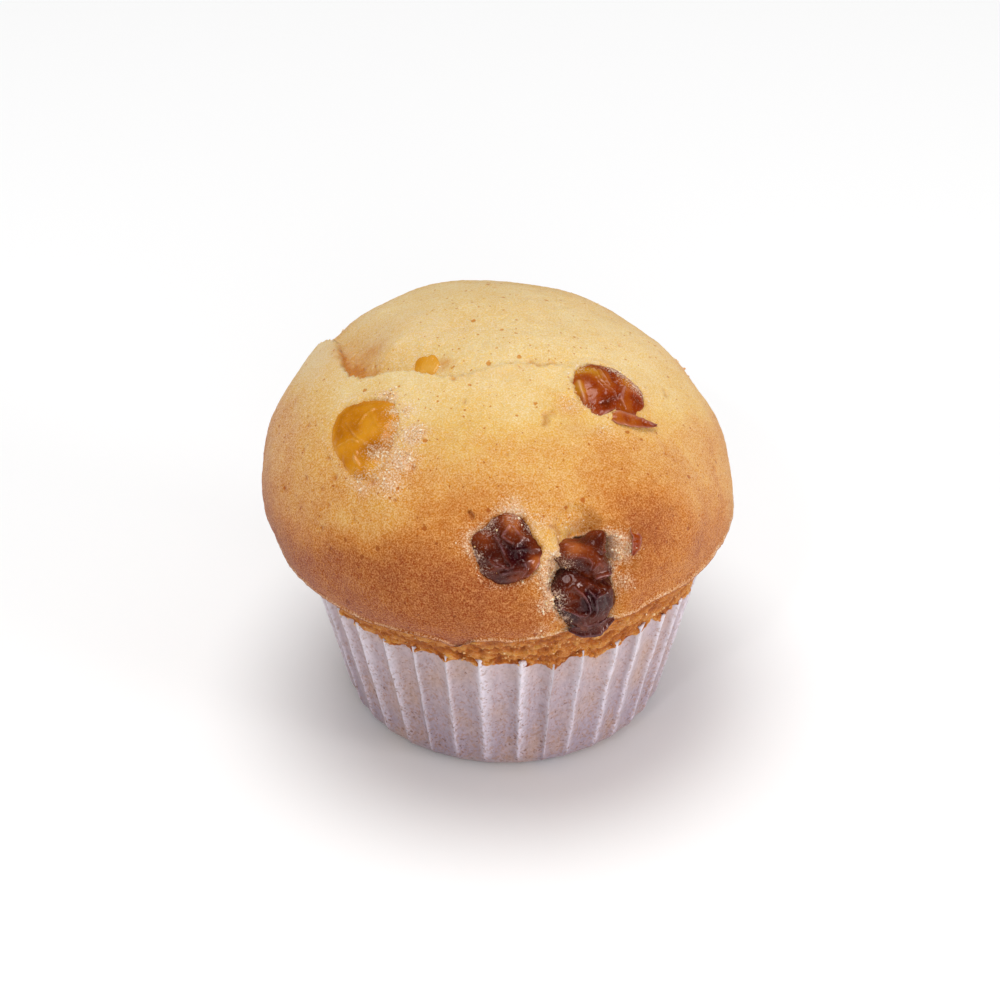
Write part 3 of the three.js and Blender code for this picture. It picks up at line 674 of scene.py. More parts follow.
def crustMesh():
    mesh = meshFrom(crustTemplate(), "muffin_crust")
    azimuth, rise, station = crustSpots(coordinates(mesh))
    points = capPoints(azimuth, rise)
    plain = points.copy()
    onCap = station >= 0
    out = outwardFrom(points)

    folded, foldShade, foldEdgeShade = foldRelief(plain)
    sunk = np.minimum(folded, 0) * onCap
    relief = folded - sunk + hollowRelief(plain)
    for height, length, along, shift in crust["lumps"]:
        phase = plain @ (np.array(along) / np.linalg.norm(along)) * 2 * math.pi / length
        relief += height * np.sin(phase + shift)
    relief += 0.12 * noiseAt(plain, 5.5, 1) + 0.10 * noiseAt(plain, 2.4, 2)

    # openings for the raisins and the torn split
    ragged = 0.07 * noiseAt(plain, 1.3, 7) + 0.05 * noiseAt(plain, 0.6, 8)
    # deep gathers the painted shade, pale the torn crumb
    deep = np.zeros(len(points))
    pale = np.zeros(len(points))
    for one in raisins:
        middle, axes = raisinFrame(one)
        over = coverAt((plain - middle) @ axes.T, one)
        share = insideShare(plain, raisinFrame(one), raisinOutline(one)) + ragged + 0.5 * over
        near = share < 3
        relief -= one["opening"] * smooth(1.0, 0.84, share)
        relief += 0.14 * one["opening"] * bell(share - 1.12, 0.09)
        # painted shade: the crust darkens at the edge of each raisin's opening
        deep += one["rim"] * smooth(1.06, 0.96, share)
        pale += 0.3 * bell(share - 1.1, 0.1) + 0.9 * over * near
        relief += 0.3 * over * near
    torn = insideShare(plain, localFrame(split["azimuth"], split["rise"]), splitOutline) + 1.6 * ragged
    relief -= split["depth"] * smooth(1.0, 0.86, torn)
    relief += 0.3 * bell(torn - 1.08, 0.06)
    pale += 0.9 * smooth(1.02, 0.9, torn) + 0.3 * bell(torn - 1.06, 0.08)

    for wide, depth, *spots in marks["cracks"]:
        line = np.array([capPoints(a, r) for a, r in spots])
        gap = lineGap(plain, line) * (1 + 4 * ragged) + 1.5 * ragged
        relief -= depth * bell(gap, wide)
        # painted shade: the cracks are painted darker
        deep += min(1.0, depth) * bell(gap, wide)
        relief += 0.25 * depth * bell(gap - 2 * wide, wide)

    # pores, cut with a soft edge and painted darker inside as their shade
    spots, sizes = poreSpots()
    tree = KDTree(len(spots))
    for index, spot in enumerate(spots):
        tree.insert(spot, index)
    tree.balance()
    wobble = 0.5 * noiseAt(plain, 0.6, 9)
    for index, point in enumerate(plain.tolist()):
        _, nearest, gap = tree.find(point)
        if gap < crust["poreReach"]:
            cut = math.exp(-(gap * (1 + wobble[index]) / sizes[nearest]) ** 2)
            relief[index] -= 0.9 * sizes[nearest] * cut
            deep[index] += 0.8 * cut

    # painted shade in the fold and the hollows, made uneven
    foldShadeGrain = noiseAt(plain + (0, 0, 1) * sunk[:, None], 0.55, 18)
    for a, r, radius, strength in foldShadeSpots:
        gap = gapTo(plain, a, r) * (1 + 4 * ragged)
        deep += strength * bell(gap, radius) * (1 + 0.6 * foldShadeGrain)
    halo = np.zeros(len(points))
    for a, r, radius, strength in halos:
        halo = np.maximum(halo, strength * bell(gapTo(plain, a, r), radius))
    crumbly = np.clip(halo + pale, 0, 1)
    relief += crumbly * (0.16 * noiseAt(plain, 0.8, 11) + 0.14 * noiseAt(plain, 0.45, 12))
    relief += crust["grain"] * (noiseAt(plain, 0.9, 13) + noiseAt(plain, 0.5, 14))

    # the lip, ragged and a little thickened, and what lies under it
    aboveLip = rise - lipRise(azimuth)
    relief += 0.5 * bell(aboveLip, 1.6)
    points += out * (relief * onCap)[:, None]
    points[:, 2] += sunk
    ringSpots = ringed(azimuth, crust["ringRadius"], 0 * azimuth)
    frayed = 0.22 * noiseAt(ringSpots, 2.8, 15) + 0.2 * noiseAt(ringSpots, 0.8, 16)
    points[:, 2] += frayed * bell(aboveLip, 2.2)
    under = ~onCap
    rim = plain + out * relief[:, None]
    rim[:, 2] += frayed
    points[under] = underPoints(azimuth[under], station[under], rim[under])
    place(mesh, points)

    bared = under & (station > -0.5)
    rough = 0.3 * roughAt(points[bared], 1.6, 4) + 0.1 * noiseAt(points[bared], 0.5, 6)
    points[bared] += normals(mesh)[bared] * (rough * smooth(0, -0.08, station[bared]))[:, None]
    place(mesh, points)

    baked = bakedAt(azimuth, rise, plain)
    # painted shade: the crust is painted darker in the fold and a little paler on its raised crest
    baked += 0.14 * foldShade - 0.05 * np.clip(folded, 0, 1)
    # painted highlight: a pale line along the lip where its edge catches the light
    lipHighlight = bell(aboveLip - 0.3, 1.7) * (0.8 + 0.7 * noiseAt(ringSpots, 2.4, 17))
    # under the lip the crust is painted dark brown and deep, a painted shade
    paint(mesh, "baked", np.where(onCap, baked - 0.2 * lipHighlight, 0.85))
    # painted sheen: paler grain along the left side of the crust
    sideSheen = around(azimuth, crust["sideSheen"])
    paint(mesh, "pale", np.where(onCap, crumbly + sideSheen + 0.95 * lipHighlight, 0.1))
    # deep carries the painted shade round the openings, in cracks, pores and the fold, and under the lip
    paint(mesh, "deep", np.where(onCap, deep + 0.12 * foldShade ** 2 + 0.7 * foldEdgeShade, 0.7))
    paint(mesh, "crumbly", np.where(onCap, crumbly, 0))
    return mesh


paperCase = {
    "baseRadius": 25,
    "corner": 3.5,             # radius between base and wall
    "flare": 0.2536,
    "thickness": 0.2,
    "pleats": 37,
    "firstRidge": -155.6,
    "jitter": 2.0,             # degrees that a ridge may stand off its even place
    "seed": 1.624105,
    "footHeight": 0.6,         # the flutes start above this
    "pleatDepth": 1.4,
    "rimHeight": 25.4,
    "ridgeRise": 1.1,          # the rim stands higher at each ridge
    "rimWaves": ((-75, -2.0, 3.5), (-62, -2.2, 3.0), (-44, 1.8, 4.0), (-21, -2.0, 5.0), (38, -1.8, 5.0),
                 (96, 1.4, 8.0), (141, -1.6, 6.0)),   # azimuth, rise, width
    "columnsPerPleat": 20,
    "floorRows": 5,
    "cornerRows": 8,
    "wallRows": 40,
    "innerRows": 14,
    "innerCornerRows": 5,
    "innerFloorRows": 4,
    "bare": 0.5,               # the paper stands this far above the edge of the crumb
    "ringRadius": 28,          # where its unevenness is drawn
    "paintHeight": 28,
    "crumple": 0.10,
    "wander": 0.55,            # degrees that the creases stray on their way up
}


def ridgeAzimuth(index):
    jitter = (draw(index % paperCase["pleats"], paperCase["seed"]) - 0.5) * 2 * paperCase["jitter"]
    return paperCase["firstRidge"] + index * 360 / paperCase["pleats"] + jitter


ridgeSpots = np.array([ridgeAzimuth(index) for index in range(paperCase["pleats"] + 1)])
pleatDraws = np.array([draw(index % paperCase["pleats"], 2) for index in range(paperCase["pleats"] + 1)])


def pleatAt(azimuth):   # pleat number and share of the way across it
    spot = (azimuth - ridgeSpots[0]) % 360 + ridgeSpots[0]
    index = np.clip(np.searchsorted(ridgeSpots, spot, side="right") - 1, 0, paperCase["pleats"] - 1)
    return index, (spot - ridgeSpots[index]) / (ridgeSpots[index + 1] - ridgeSpots[index])


def fluteShare(index, part):   # 0 on the creases, 1 in the flute, each flute leaning its own way
    lean = 0.34 + 0.5 * pleatDraws[(index * 7 + 3) % paperCase["pleats"]]
    part = np.clip(part, 0, 1) ** (np.log(0.5) / np.log(np.clip(lean, 0.36, 0.66)))
    return np.sin(math.pi * part) ** 0.62


def rimAt(azimuth):   # height of the torn edge of the crumb over the paper, without its rise at the ridges
    index, part = pleatAt(azimuth)
    level = paperCase["rimHeight"] - paperCase["bare"] + pleatDraws[index]
    level = level + (pleatDraws[index + 1] - pleatDraws[index]) * part
    for spot, rise, width in paperCase["rimWaves"]:
        level = level + rise * bell(turnBetween(azimuth, spot), width)
    return level


def caseReach(azimuth, height, inward=0.0):
    index, part = pleatAt(azimuth)
    corner = paperCase["corner"]
    low = np.maximum(0, corner - height)
    bend = np.sqrt(np.maximum(0, (corner - inward) ** 2 - low ** 2))
    climb = np.clip((height - paperCase["footHeight"]) / paperCase["rimHeight"], 0, 2) ** 0.55
    depth = paperCase["pleatDepth"] * (0.8 + 0.4 * pleatDraws[(index * 5 + 1) % paperCase["pleats"]])
    flute = depth * climb * fluteShare(index, part)
    return paperCase["baseRadius"] - corner + bend + paperCase["flare"] * height - flute


def paperMesh():
    floorRow = paperCase["floorRows"]
    cornerRow = floorRow + paperCase["cornerRows"]
    wallRow = cornerRow + paperCase["wallRows"]
    rimRow = wallRow + 1
    innerRow = rimRow + paperCase["innerRows"]
    bendRow = innerRow + paperCase["innerCornerRows"]
    lastRow = bendRow + paperCase["innerFloorRows"]
    mesh = meshFrom(sphereOf(paperCase["pleats"] * paperCase["columnsPerPleat"], lastRow), "pleated_paper")
    template = coordinates(mesh)
    spot, way = sphereSpots(template)
    row = np.round(way * lastRow)
    columns = np.round((spot % 360) / 360 * paperCase["pleats"] * paperCase["columnsPerPleat"])
    pleat = (columns // paperCase["columnsPerPleat"]).astype(int) % paperCase["pleats"]
    part = (columns % paperCase["columnsPerPleat"]) / paperCase["columnsPerPleat"]
    azimuth = ridgeSpots[pleat] + part * (ridgeSpots[pleat + 1] - ridgeSpots[pleat])
    share = fluteShare(pleat, part)

    thick, corner = paperCase["thickness"], paperCase["corner"]
    ragged = 0.35 * noiseAt(ringed(azimuth, paperCase["ringRadius"], 0 * azimuth), 1.1, 31)
    top = rimAt(azimuth) + paperCase["bare"] + ragged + paperCase["ridgeRise"] * (1 - share)
    bend = np.interp(row, (floorRow, cornerRow), (0, 90))
    innerBend = np.interp(row, (innerRow, bendRow), (90, 0))
    height = np.select(
        [row <= floorRow, row <= cornerRow, row <= wallRow, row <= innerRow],
        [0 * row, corner * (1 - np.cos(np.radians(bend))),
         corner + (top - corner) * (row - cornerRow) / (wallRow - cornerRow),
         top + (corner - top) * (row - rimRow) / (innerRow - rimRow)],
        corner - (corner - thick) * np.cos(np.radians(innerBend)),
    )
    height = np.where(row > bendRow, thick, height)
    inward = np.where(row > wallRow, thick, 0.0)
    spread = np.interp(row, (0, floorRow, bendRow, lastRow), (0, 1, 1, 0))
    sway = paperCase["wander"] * noiseAt(np.stack((pleat * 3.7, 0 * height, height), axis=-1), 6.5, 33)
    sway *= smooth(3, 10, height)
    reach = (caseReach(azimuth, height, inward) - inward * (height >= corner)) * spread
    crumple = noiseAt(ringed(azimuth, paperCase["ringRadius"], height), 2.6, 35)
    reach += paperCase["crumple"] * crumple * smooth(2, 8, height) * spread
    place(mesh, ringed(azimuth + sway, reach, height))
    paint(mesh, "flute", 1 - (1 - share) * smooth(0.2, 4, height))
    paint(mesh, "climb", height / paperCase["paintHeight"])
    return mesh


band = {   # torn crumb between the lip of the cap and the paper
    "columns": 1000,
    "rows": 56,
    "midHeight": 31.2,
    "swell": 0.46,         # share of the way from the case to the cap at mid height
    "below": 0.8,          # lies this far inside the baked skin
    "inset": 0.3,          # lies this far inside the ridges of the paper at its lower edge
    "hang": 0.4,           # stands this far off the flutes there
    "ragged": 0.7,
    "relief": 0.36,
    "fineRelief": 0.3,
    "crack": 0.5,
    "flatten": 1.25,       # cracks run along the band
    "ringRadius": 30,
    "sheen": 0.0,
    "creviceShade": (           # azimuth and how dark the painted shadow under the lip is
        (-150, 0.3), (-128, 0.6), (-118, 1), (-104, 0.9), (-95, 0.6), (-80, 0.4), (-60, 0.8), (-30, 0.4),
        (60, 0.4), (120, 0.7),
    ),
}


def profileSpots(way, stations, reaches, heights):   # along a profile that differs round the muffin
    stations, reaches, heights = np.array(stations), np.array(reaches), np.array(heights)
    index = np.clip(np.searchsorted(stations, way, side="right") - 1, 0, len(stations) - 2)
    column = np.arange(len(way))
    share = (way - stations[index]) / (stations[index + 1] - stations[index])
    reach = reaches[index, column] + (reaches[index + 1, column] - reaches[index, column]) * share
    height = heights[index, column] + (heights[index + 1, column] - heights[index, column]) * share
    return reach, height


def bandMesh():
    mesh = meshFrom(sphereOf(band["columns"], band["rows"]), "crumb_band")
    azimuth, way = sphereSpots(coordinates(mesh))
    lip = capPoints(azimuth, lipRise(azimuth))
    lipReach, lipHeight = np.hypot(lip[:, 0], lip[:, 1]), lip[:, 2]
    ringSpots = ringed(azimuth, band["ringRadius"], 0 * azimuth)
    ragged = 0.8 * noiseAt(ringSpots, 3.2, 41) + 0.5 * noiseAt(ringSpots, 1.2, 42)
    ragged += 0.3 * noiseAt(ringSpots, 0.5, 46)
    edge = rimAt(azimuth) + band["ragged"] * ragged
    foot = capPoints(azimuth, riseAt(cap["foot"]))
    footReach = np.hypot(foot[:, 0], foot[:, 1]) - band["below"] - 0.2
    middle = band["midHeight"] + 0 * edge
    ridge = paperCase["baseRadius"] + paperCase["flare"] * edge
    flute = caseReach(azimuth, edge)
    proud = ridge - band["inset"]
    close = np.minimum(flute + band["hang"], ridge - 0.15 + 0.4 * noiseAt(ringSpots, 1.9, 47))
    bandReach = proud + band["swell"] * (footReach - proud)
    under = lipReach - band["below"]
    stations = (0, 0.05, 0.10, 0.13, 0.16, 0.24, 0.34, 0.52, 0.70, 0.84, 0.89, 0.92, 1)
    reaches = (0 * edge, flute - 4, flute - 0.8, close - 0.15, close + 0.1,
               np.minimum(proud + 0.25, flute + 0.7), proud + 0.45, bandReach, footReach, under, under - 0.5,
               lipReach - 4, 0 * edge)
    heights = (edge + 1, edge + 1, edge + 0.6, edge, edge + 0.3, edge + 1.0, edge + 1.9, middle,
               cap["foot"] - 0.3 + 0 * edge, lipHeight - 0.35, lipHeight + 0.3, lipHeight + 0.8,
               lipHeight + 1)
    points = ringed(azimuth, *profileSpots(way, stations, reaches, heights))
    place(mesh, points)

    flat = points * (1, 1, band["flatten"])
    clods = roughAt(flat, 2.0, 43, 3)
    grains = noiseAt(points, 0.6, 44)
    cracks = np.clip(1 - np.abs(noiseAt(flat, 1.9, 45)) * 5, 0, 1) ** 2
    relief = band["relief"] * clods + band["fineRelief"] * grains - band["crack"] * cracks
    shown = (0.35 + 0.65 * smooth(0.14, 0.28, way)) * smooth(0.1, 0.14, way) * smooth(0.93, 0.86, way)
    points += normals(mesh) * (relief * shown)[:, None]
    place(mesh, points)
    # the crumb is painted darker where its clods sink and up under the lip, and paler on its grains; deep
    # adds its own deep orange and painted shade in the cracks, the sunk clods and under the lip
    paint(mesh, "baked", 0.6 - 0.34 * clods - 0.2 * grains + 0.2 * smooth(0.8, 0.86, way))
    paint(mesh, "pale", 0.4 * smooth(0.15, 0.5, grains) * smooth(0.9, 0.6, way))
    creviceShade = around(azimuth, band["creviceShade"]) * smooth(0.70, 0.84, way)
    shadow = 0.35 * smooth(0.1, -0.4, clods) + 0.8 * cracks
    paint(mesh, "deep", 0.15 + 0.45 * smooth(0.12, 0.22, way) + shadow + 1.1 * creviceShade)
    return mesh


skins = {   # colour from the darkest to the lightest part of a skin
    "golden": (tone(164, 92, 6), tone(196, 122, 14), tone(214, 146, 34), tone(226, 174, 82)),
    "red": (tone(94, 28, 3), tone(134, 46, 4), tone(166, 82, 16), tone(194, 130, 22)),
    "dark": (tone(46, 6, 9), tone(80, 26, 8), tone(116, 47, 15), tone(156, 82, 36)),
}
# painted highlights: the pale tone laid along the raised creases of each skin
ridgeHighlightTones = {"golden": tone(224, 184, 140), "red": tone(206, 162, 148), "dark": tone(146, 112, 122)}
crumbTones = {   # crumb left on a skin, from its hollows to its grains
    "golden": (tone(212, 160, 96), tone(244, 222, 192)),
    "red": (tone(196, 132, 84), tone(240, 216, 192)),
    "dark": (tone(140, 92, 64), tone(226, 196, 176)),
}


def raisinMesh(one):
    bm = bmesh.new()
    bmesh.ops.create_icosphere(bm, subdivisions=one["detail"], radius=1)
    mesh = meshFrom(bm, one["name"].replace("raisin", "skin"))
    unit = coordinates(mesh)
    unit /= np.linalg.norm(unit, axis=1)[:, None]
    outline = np.array(raisinOutline(one))
    centre = outline.mean(axis=0)
    rho = np.hypot(unit[:, 0], unit[:, 1])
    fullness = (rho ** 2.5 + np.abs(unit[:, 2]) ** 2.5) ** (-1 / 2.5)
    reach = 1.06 * outlineReach(outline, np.arctan2(unit[:, 1], unit[:, 0]), centre)
    flat = centre + unit[:, :2] / np.maximum(rho, 1e-6)[:, None] * (reach * rho * fullness)[:, None]
    height = one["thick"] * unit[:, 2] * fullness - (flat ** 2).sum(axis=1) / 80
    height -= 1.6 * coverAt(flat, one)
    if one["hug"]:   # lies on the sunk side of the fold
        middle, axes = raisinFrame(one)
        spots = middle + np.column_stack((flat, -(flat ** 2).sum(axis=1) / 80)) @ axes
        height += foldRelief(spots)[0]
    local = np.column_stack((flat, height))
    place(mesh, local)

    # soft lumps, then folds in the skin with round backs and sharp valleys
    seed = one["seed"]
    warp = np.column_stack([noiseAt(local, 3.2, seed + part) for part in (0.1, 5.2, 9.7)])
    bent = (local + 1.1 * warp) * (0.62, 1, 1)
    folds = 1 - np.abs(noiseAt(bent, 1.7, seed + 1)) * 3.2
    fineFolds = 1 - np.abs(noiseAt(bent, 0.8, seed + 2)) * 3.2
    relief = one["lump"] * noiseAt(local, 3.4, seed + 3)
    relief += one["wrinkle"] * (0.42 * np.clip(folds, -0.6, 1) + 0.2 * np.clip(fineFolds, -0.6, 1) - 0.1)
    top = unit[:, 2] > -0.2
    drift = local[:, :2] + 0.35 * warp[:, :2]
    # ridge: painted highlight along the raised creases, strongest on their crests
    ridge = np.zeros(len(local))
    for height, wide, *line in one["ridges"]:
        gap = lineGap(drift, np.array(line, float))
        relief += height * bell(gap, wide) * top
        ridge = np.maximum(ridge, min(1.0, 1.8 * height) * bell(2.2 * gap, wide) * top)
    ridge *= np.clip(0.55 + 1.1 * noiseAt(local, 1.1, seed + 8), 0.05, 1)
    crumbly = np.zeros(len(local))
    for x, y, radius, strength in one["crumbs"]:
        gap = np.hypot(local[:, 0] - x, local[:, 1] - y)
        crumbly = np.maximum(crumbly, strength * bell(gap, radius) * top)
    covered = np.clip(crumbly * (1 + 0.7 * noiseAt(local, 1.4, seed + 5)), 0, 1)
    relief += covered * (0.05 + 0.22 * np.clip(noiseAt(local, 0.45, seed + 6), 0, 1))
    local = local + normals(mesh) * relief[:, None]

    middle, axes = raisinFrame(one)
    place(mesh, middle - axes[2] * one["sink"] + local @ axes)
    # the tone follows the relief: raised parts of the skin painted paler and its hollows darker, a painted
    # shade
    shade = 0.42 + one["bright"] + 0.4 * noiseAt(local, 3.0, seed + 7) + 0.25 * (relief - 0.1)
    for x, y, radius, amount in one["tones"]:
        shade += amount * np.exp(-(((local[:, 0] - x) ** 2 + (local[:, 1] - y) ** 2) / radius ** 2))
    paint(mesh, "shade", shade)
    paint(mesh, "ridge", ridge)
    paint(mesh, "covered", covered)
    return mesh


# loose scraps of raisin skin: name, skin, width, curl, skew, shades at both ends, and a line of azimuth, rise
# and height off the cap
flakes = (
    ("flake_red_top", "red", 2.3, 0.3, 0.5, (0.75, 0.25),
     (-42.4, 52.0, 0.1), (-40.4, 50.2, 0.4), (-37.4, 47.6, 0.6), (-34.6, 45.0, 0.6), (-31.0, 42.0, 0.5)),
    ("flake_dark_split", "dark", 2.3, 0.3, 1.0, (0.15, 0.3),
     (-76.8, -8.2, 0.2), (-74.2, -10.0, 0.8), (-71.4, -10.2, 1.1), (-69.0, -9.0, 0.9), (-66.4, -6.8, 0.2)),
    ("flake_red_split", "red", 1.6, 0.3, 1.0, (0.4, 0.3),
     (-57.4, 23.0, 0.1), (-57.2, 19.8, 0.6), (-58.0, 17.2, 0.6), (-59.4, 14.4, 0.1)),
)
flakeShape = {"long": 28, "wide": 6, "thick": 0.22, "ragged": 0.25}


def flakeMesh(name, width, curl, skew, shades, *route):
    bm = bmesh.new()
    bmesh.ops.create_grid(bm, x_segments=flakeShape["long"], y_segments=flakeShape["wide"], size=1)
    bmesh.ops.solidify(bm, geom=bm.faces[:], thickness=0.01)
    mesh = meshFrom(bm, name)
    flat = coordinates(mesh)
    share = (flat[:, 0] + 1) / 2
    knots = np.linspace(0, 1, len(route))
    turns, rises, lifts = (np.interp(share, knots, column) for column in zip(*route))
    spots = capPoints(turns, rises)
    turnRun, riseRun = route[-1][0] - route[0][0], route[-1][1] - route[0][1]
    ahead = capPoints(turns + 0.01 * turnRun, rises + 0.01 * riseRun) - spots
    ahead /= np.linalg.norm(ahead, axis=1)[:, None]
    out = outwardFrom(spots)
    across = np.cross(out, ahead)
    sides = np.column_stack((4 * share, np.sign(flat[:, 1]), 0 * share))
    edge = 1 + flakeShape["ragged"] * noiseAt(sides, 0.7, 51)
    half = 0.5 * width * edge * np.sin(math.pi * np.clip(share, 0.03, 0.97) ** skew) ** 0.6
    lifts = lifts + 0.3 * noiseAt(spots, 0.9, 53) + 0.2 * noiseAt(spots, 0.4, 54)
    under = flat[:, 2] < flat[:, 2].mean()
    height = lifts + curl * np.abs(flat[:, 1]) ** 1.6 - flakeShape["thick"] * under
    place(mesh, spots + across * (half * flat[:, 1])[:, None] + out * height[:, None])
    shade = shades[0] + (shades[1] - shades[0]) * share + 0.2 * noiseAt(coordinates(mesh), 0.9, 52)
    paint(mesh, "shade", shade)
    # painted highlight on the curled edges of the flake
    paint(mesh, "ridge", 0.5 * np.abs(flat[:, 1]) ** 4)
    paint(mesh, "covered", 0 * share)
    return mesh


crumbs = {
    "seed": 77,
    "crust": (1500, 0.7),   # how many lie on the torn patches of the crust, and how light they are
    "band": (800, 0.25),    # on the torn crumb over the paper
    "skins": (300, 0.7),    # on the raisins
    "bandEven": 0.005,      # share of them that lie anywhere on the band
    "smallest": 0.07,       # half widths
    "largest": 0.22,
}


def crumbMesh(hosts):   # one mesh of small uneven grains, settled on the meshes that they lie on
    bm = bmesh.new()
    bmesh.ops.create_icosphere(bm, subdivisions=1, radius=1)
    bm.verts.ensure_lookup_table()
    grain = np.array([vert.co[:] for vert in bm.verts])
    corners = np.array([[vert.index for vert in face.verts] for face in bm.faces])
    bm.free()
    rng = np.random.RandomState(crumbs["seed"])
    spots, sizes, tones = [], [], []
    for mesh, weight, count, tint in hosts:
        places = rng.choice(len(weight), count, p=weight / weight.sum())
        size = crumbs["smallest"] + (crumbs["largest"] - crumbs["smallest"]) * rng.random_sample(count) ** 2.4
        spots.append(coordinates(mesh)[places] / metre + normals(mesh)[places] * (0.45 * size)[:, None])
        sizes.append(size)
        tones.append(np.clip(tint + 0.28 * rng.standard_normal(count), 0, 1))
    spots, sizes, tones = np.concatenate(spots), np.concatenate(sizes), np.concatenate(tones)
    stretch = rng.uniform(0.7, 1.35, (len(spots), 1, 3)) * sizes[:, None, None]
    jitter = rng.uniform(0.72, 1.2, (len(spots), len(grain), 1))
    points = (spots[:, None, :] + grain[None] * jitter * stretch).reshape(-1, 3)
    faces = (corners[None] + (np.arange(len(spots)) * len(grain))[:, None, None]).reshape(-1, 3)
    mesh = bpy.data.meshes.new("loose_crumbs")
    mesh.from_pydata(points.tolist(), [], faces.tolist())
    paint(mesh, "shade", np.repeat(tones, len(grain)))
    return mesh


class Shader:   # a material's nodes, made one after another
    def __init__(self, name):
        self.material = bpy.data.materials.new(name)
        self.material.use_nodes = True
        self.tree = self.material.node_tree
        self.skin = self.tree.nodes["Principled BSDF"]
        self.object = self.node("ShaderNodeTexCoord").outputs["Object"]

    def node(self, kind, inputs=(), **settings):
        made = self.tree.nodes.new(kind)
        for name, value in settings.items():
            setattr(made, name, value)
        for key, value in dict(inputs).items():
            self.feed(made.inputs[key], value)
        return made

    def feed(self, socket, value):
        if isinstance(value, bpy.types.NodeSocket):
            self.tree.links.new(value, socket)
        else:
            socket.default_value = value

    def painted(self, name):
        return self.node("ShaderNodeAttribute", attribute_name=name).outputs["Fac"]

    def stretched(self, scale):
        return self.node("ShaderNodeMapping", {"Vector": self.object, "Scale": scale}).outputs["Vector"]

    def noise(self, scale, detail=2.0, rough=0.5, vector=None, twist=0.0):
        inputs = {"Vector": vector or self.object, "Scale": scale, "Detail": detail, "Roughness": rough,
                  "Distortion": twist}
        return self.node("ShaderNodeTexNoise", inputs).outputs["Fac"]

    def warped(self, scale, amount):   # places pushed about a little, so that a pattern on them is uneven
        push = self.node("ShaderNodeTexNoise", {"Vector": self.object, "Scale": scale}).outputs["Color"]
        inputs = {0: push, 1: (amount, amount, amount), 2: self.object}
        return self.node("ShaderNodeVectorMath", inputs, operation="MULTIPLY_ADD").outputs[0]

    def pores(self, vector, scale, rarity, widest):   # balls in a jittered lattice that the surface cuts
        cell = self.node("ShaderNodeTexVoronoi", {"Vector": vector, "Scale": scale})
        pick = self.node("ShaderNodeSeparateColor", {"Color": cell.outputs["Color"]}).outputs["Red"]
        wide = self.spread(pick, rarity, 1.0, -0.05, widest)
        return self.spread(self.maths("SUBTRACT", wide, cell.outputs["Distance"]), -0.03, 0.01)

    def maths(self, kind, first, second=0.0, third=0.0):
        made = self.node("ShaderNodeMath", {0: first, 1: second, 2: third}, operation=kind)
        return made.outputs[0]

    def spread(self, value, low, high, newLow=0.0, newHigh=1.0):
        inputs = {"Value": value, "From Min": low, "From Max": high, "To Min": newLow, "To Max": newHigh}
        return self.node("ShaderNodeMapRange", inputs).outputs["Result"]

    def ramp(self, value, *stops):
        made = self.node("ShaderNodeValToRGB", {"Fac": value})
        bar = made.color_ramp.elements
        while len(bar) < len(stops):
            bar.new(0.5)
        for element, (spot, colour) in zip(bar, stops):
            element.position = spot
            element.color = colour
        return made.outputs["Color"]

    def mix(self, share, first, second, blend="MIX"):
        made = self.node("ShaderNodeMix", data_type="RGBA", blend_type=blend)
        for socket, value in zip((made.inputs[0], made.inputs[6], made.inputs[7]), (share, first, second)):
            self.feed(socket, value)
        return made.outputs[2]

    def bump(self, height, distance, strength=1.0, under=None):
        inputs = {"Height": height, "Distance": distance, "Strength": strength}
        if under is not None:
            inputs["Normal"] = under
        return self.node("ShaderNodeBump", inputs).outputs["Normal"]

    def finish(self, **inputs):
        for name, value in inputs.items():
            self.feed(self.skin.inputs[name.replace("_", " ")], value)
        return self.material


crustColours = {   # ramps from the palest to the most baked
    "ground": ((0.0, tone(238, 202, 124)), (0.25, tone(229, 176, 72)), (0.45, tone(214, 140, 36)),
               (0.62, tone(190, 103, 14)), (0.85, tone(152, 64, 8)), (1.0, tone(132, 50, 6))),
    "grain": ((0.0, tone(248, 227, 188)), (0.25, tone(242, 211, 156)), (0.45, tone(236, 194, 136)),
              (0.62, tone(229, 168, 97)), (0.85, tone(211, 140, 78)), (1.0, tone(198, 124, 72))),
    # pore: the colour of painted shade in pores, cracks, the fold and under the lip, and the band's own deep
    # orange
    "pore": ((0.0, tone(216, 138, 30)), (0.5, tone(182, 92, 12)), (1.0, tone(112, 42, 8))),
    "pale": tone(247, 220, 192),
    "torn": tone(214, 154, 102),
}


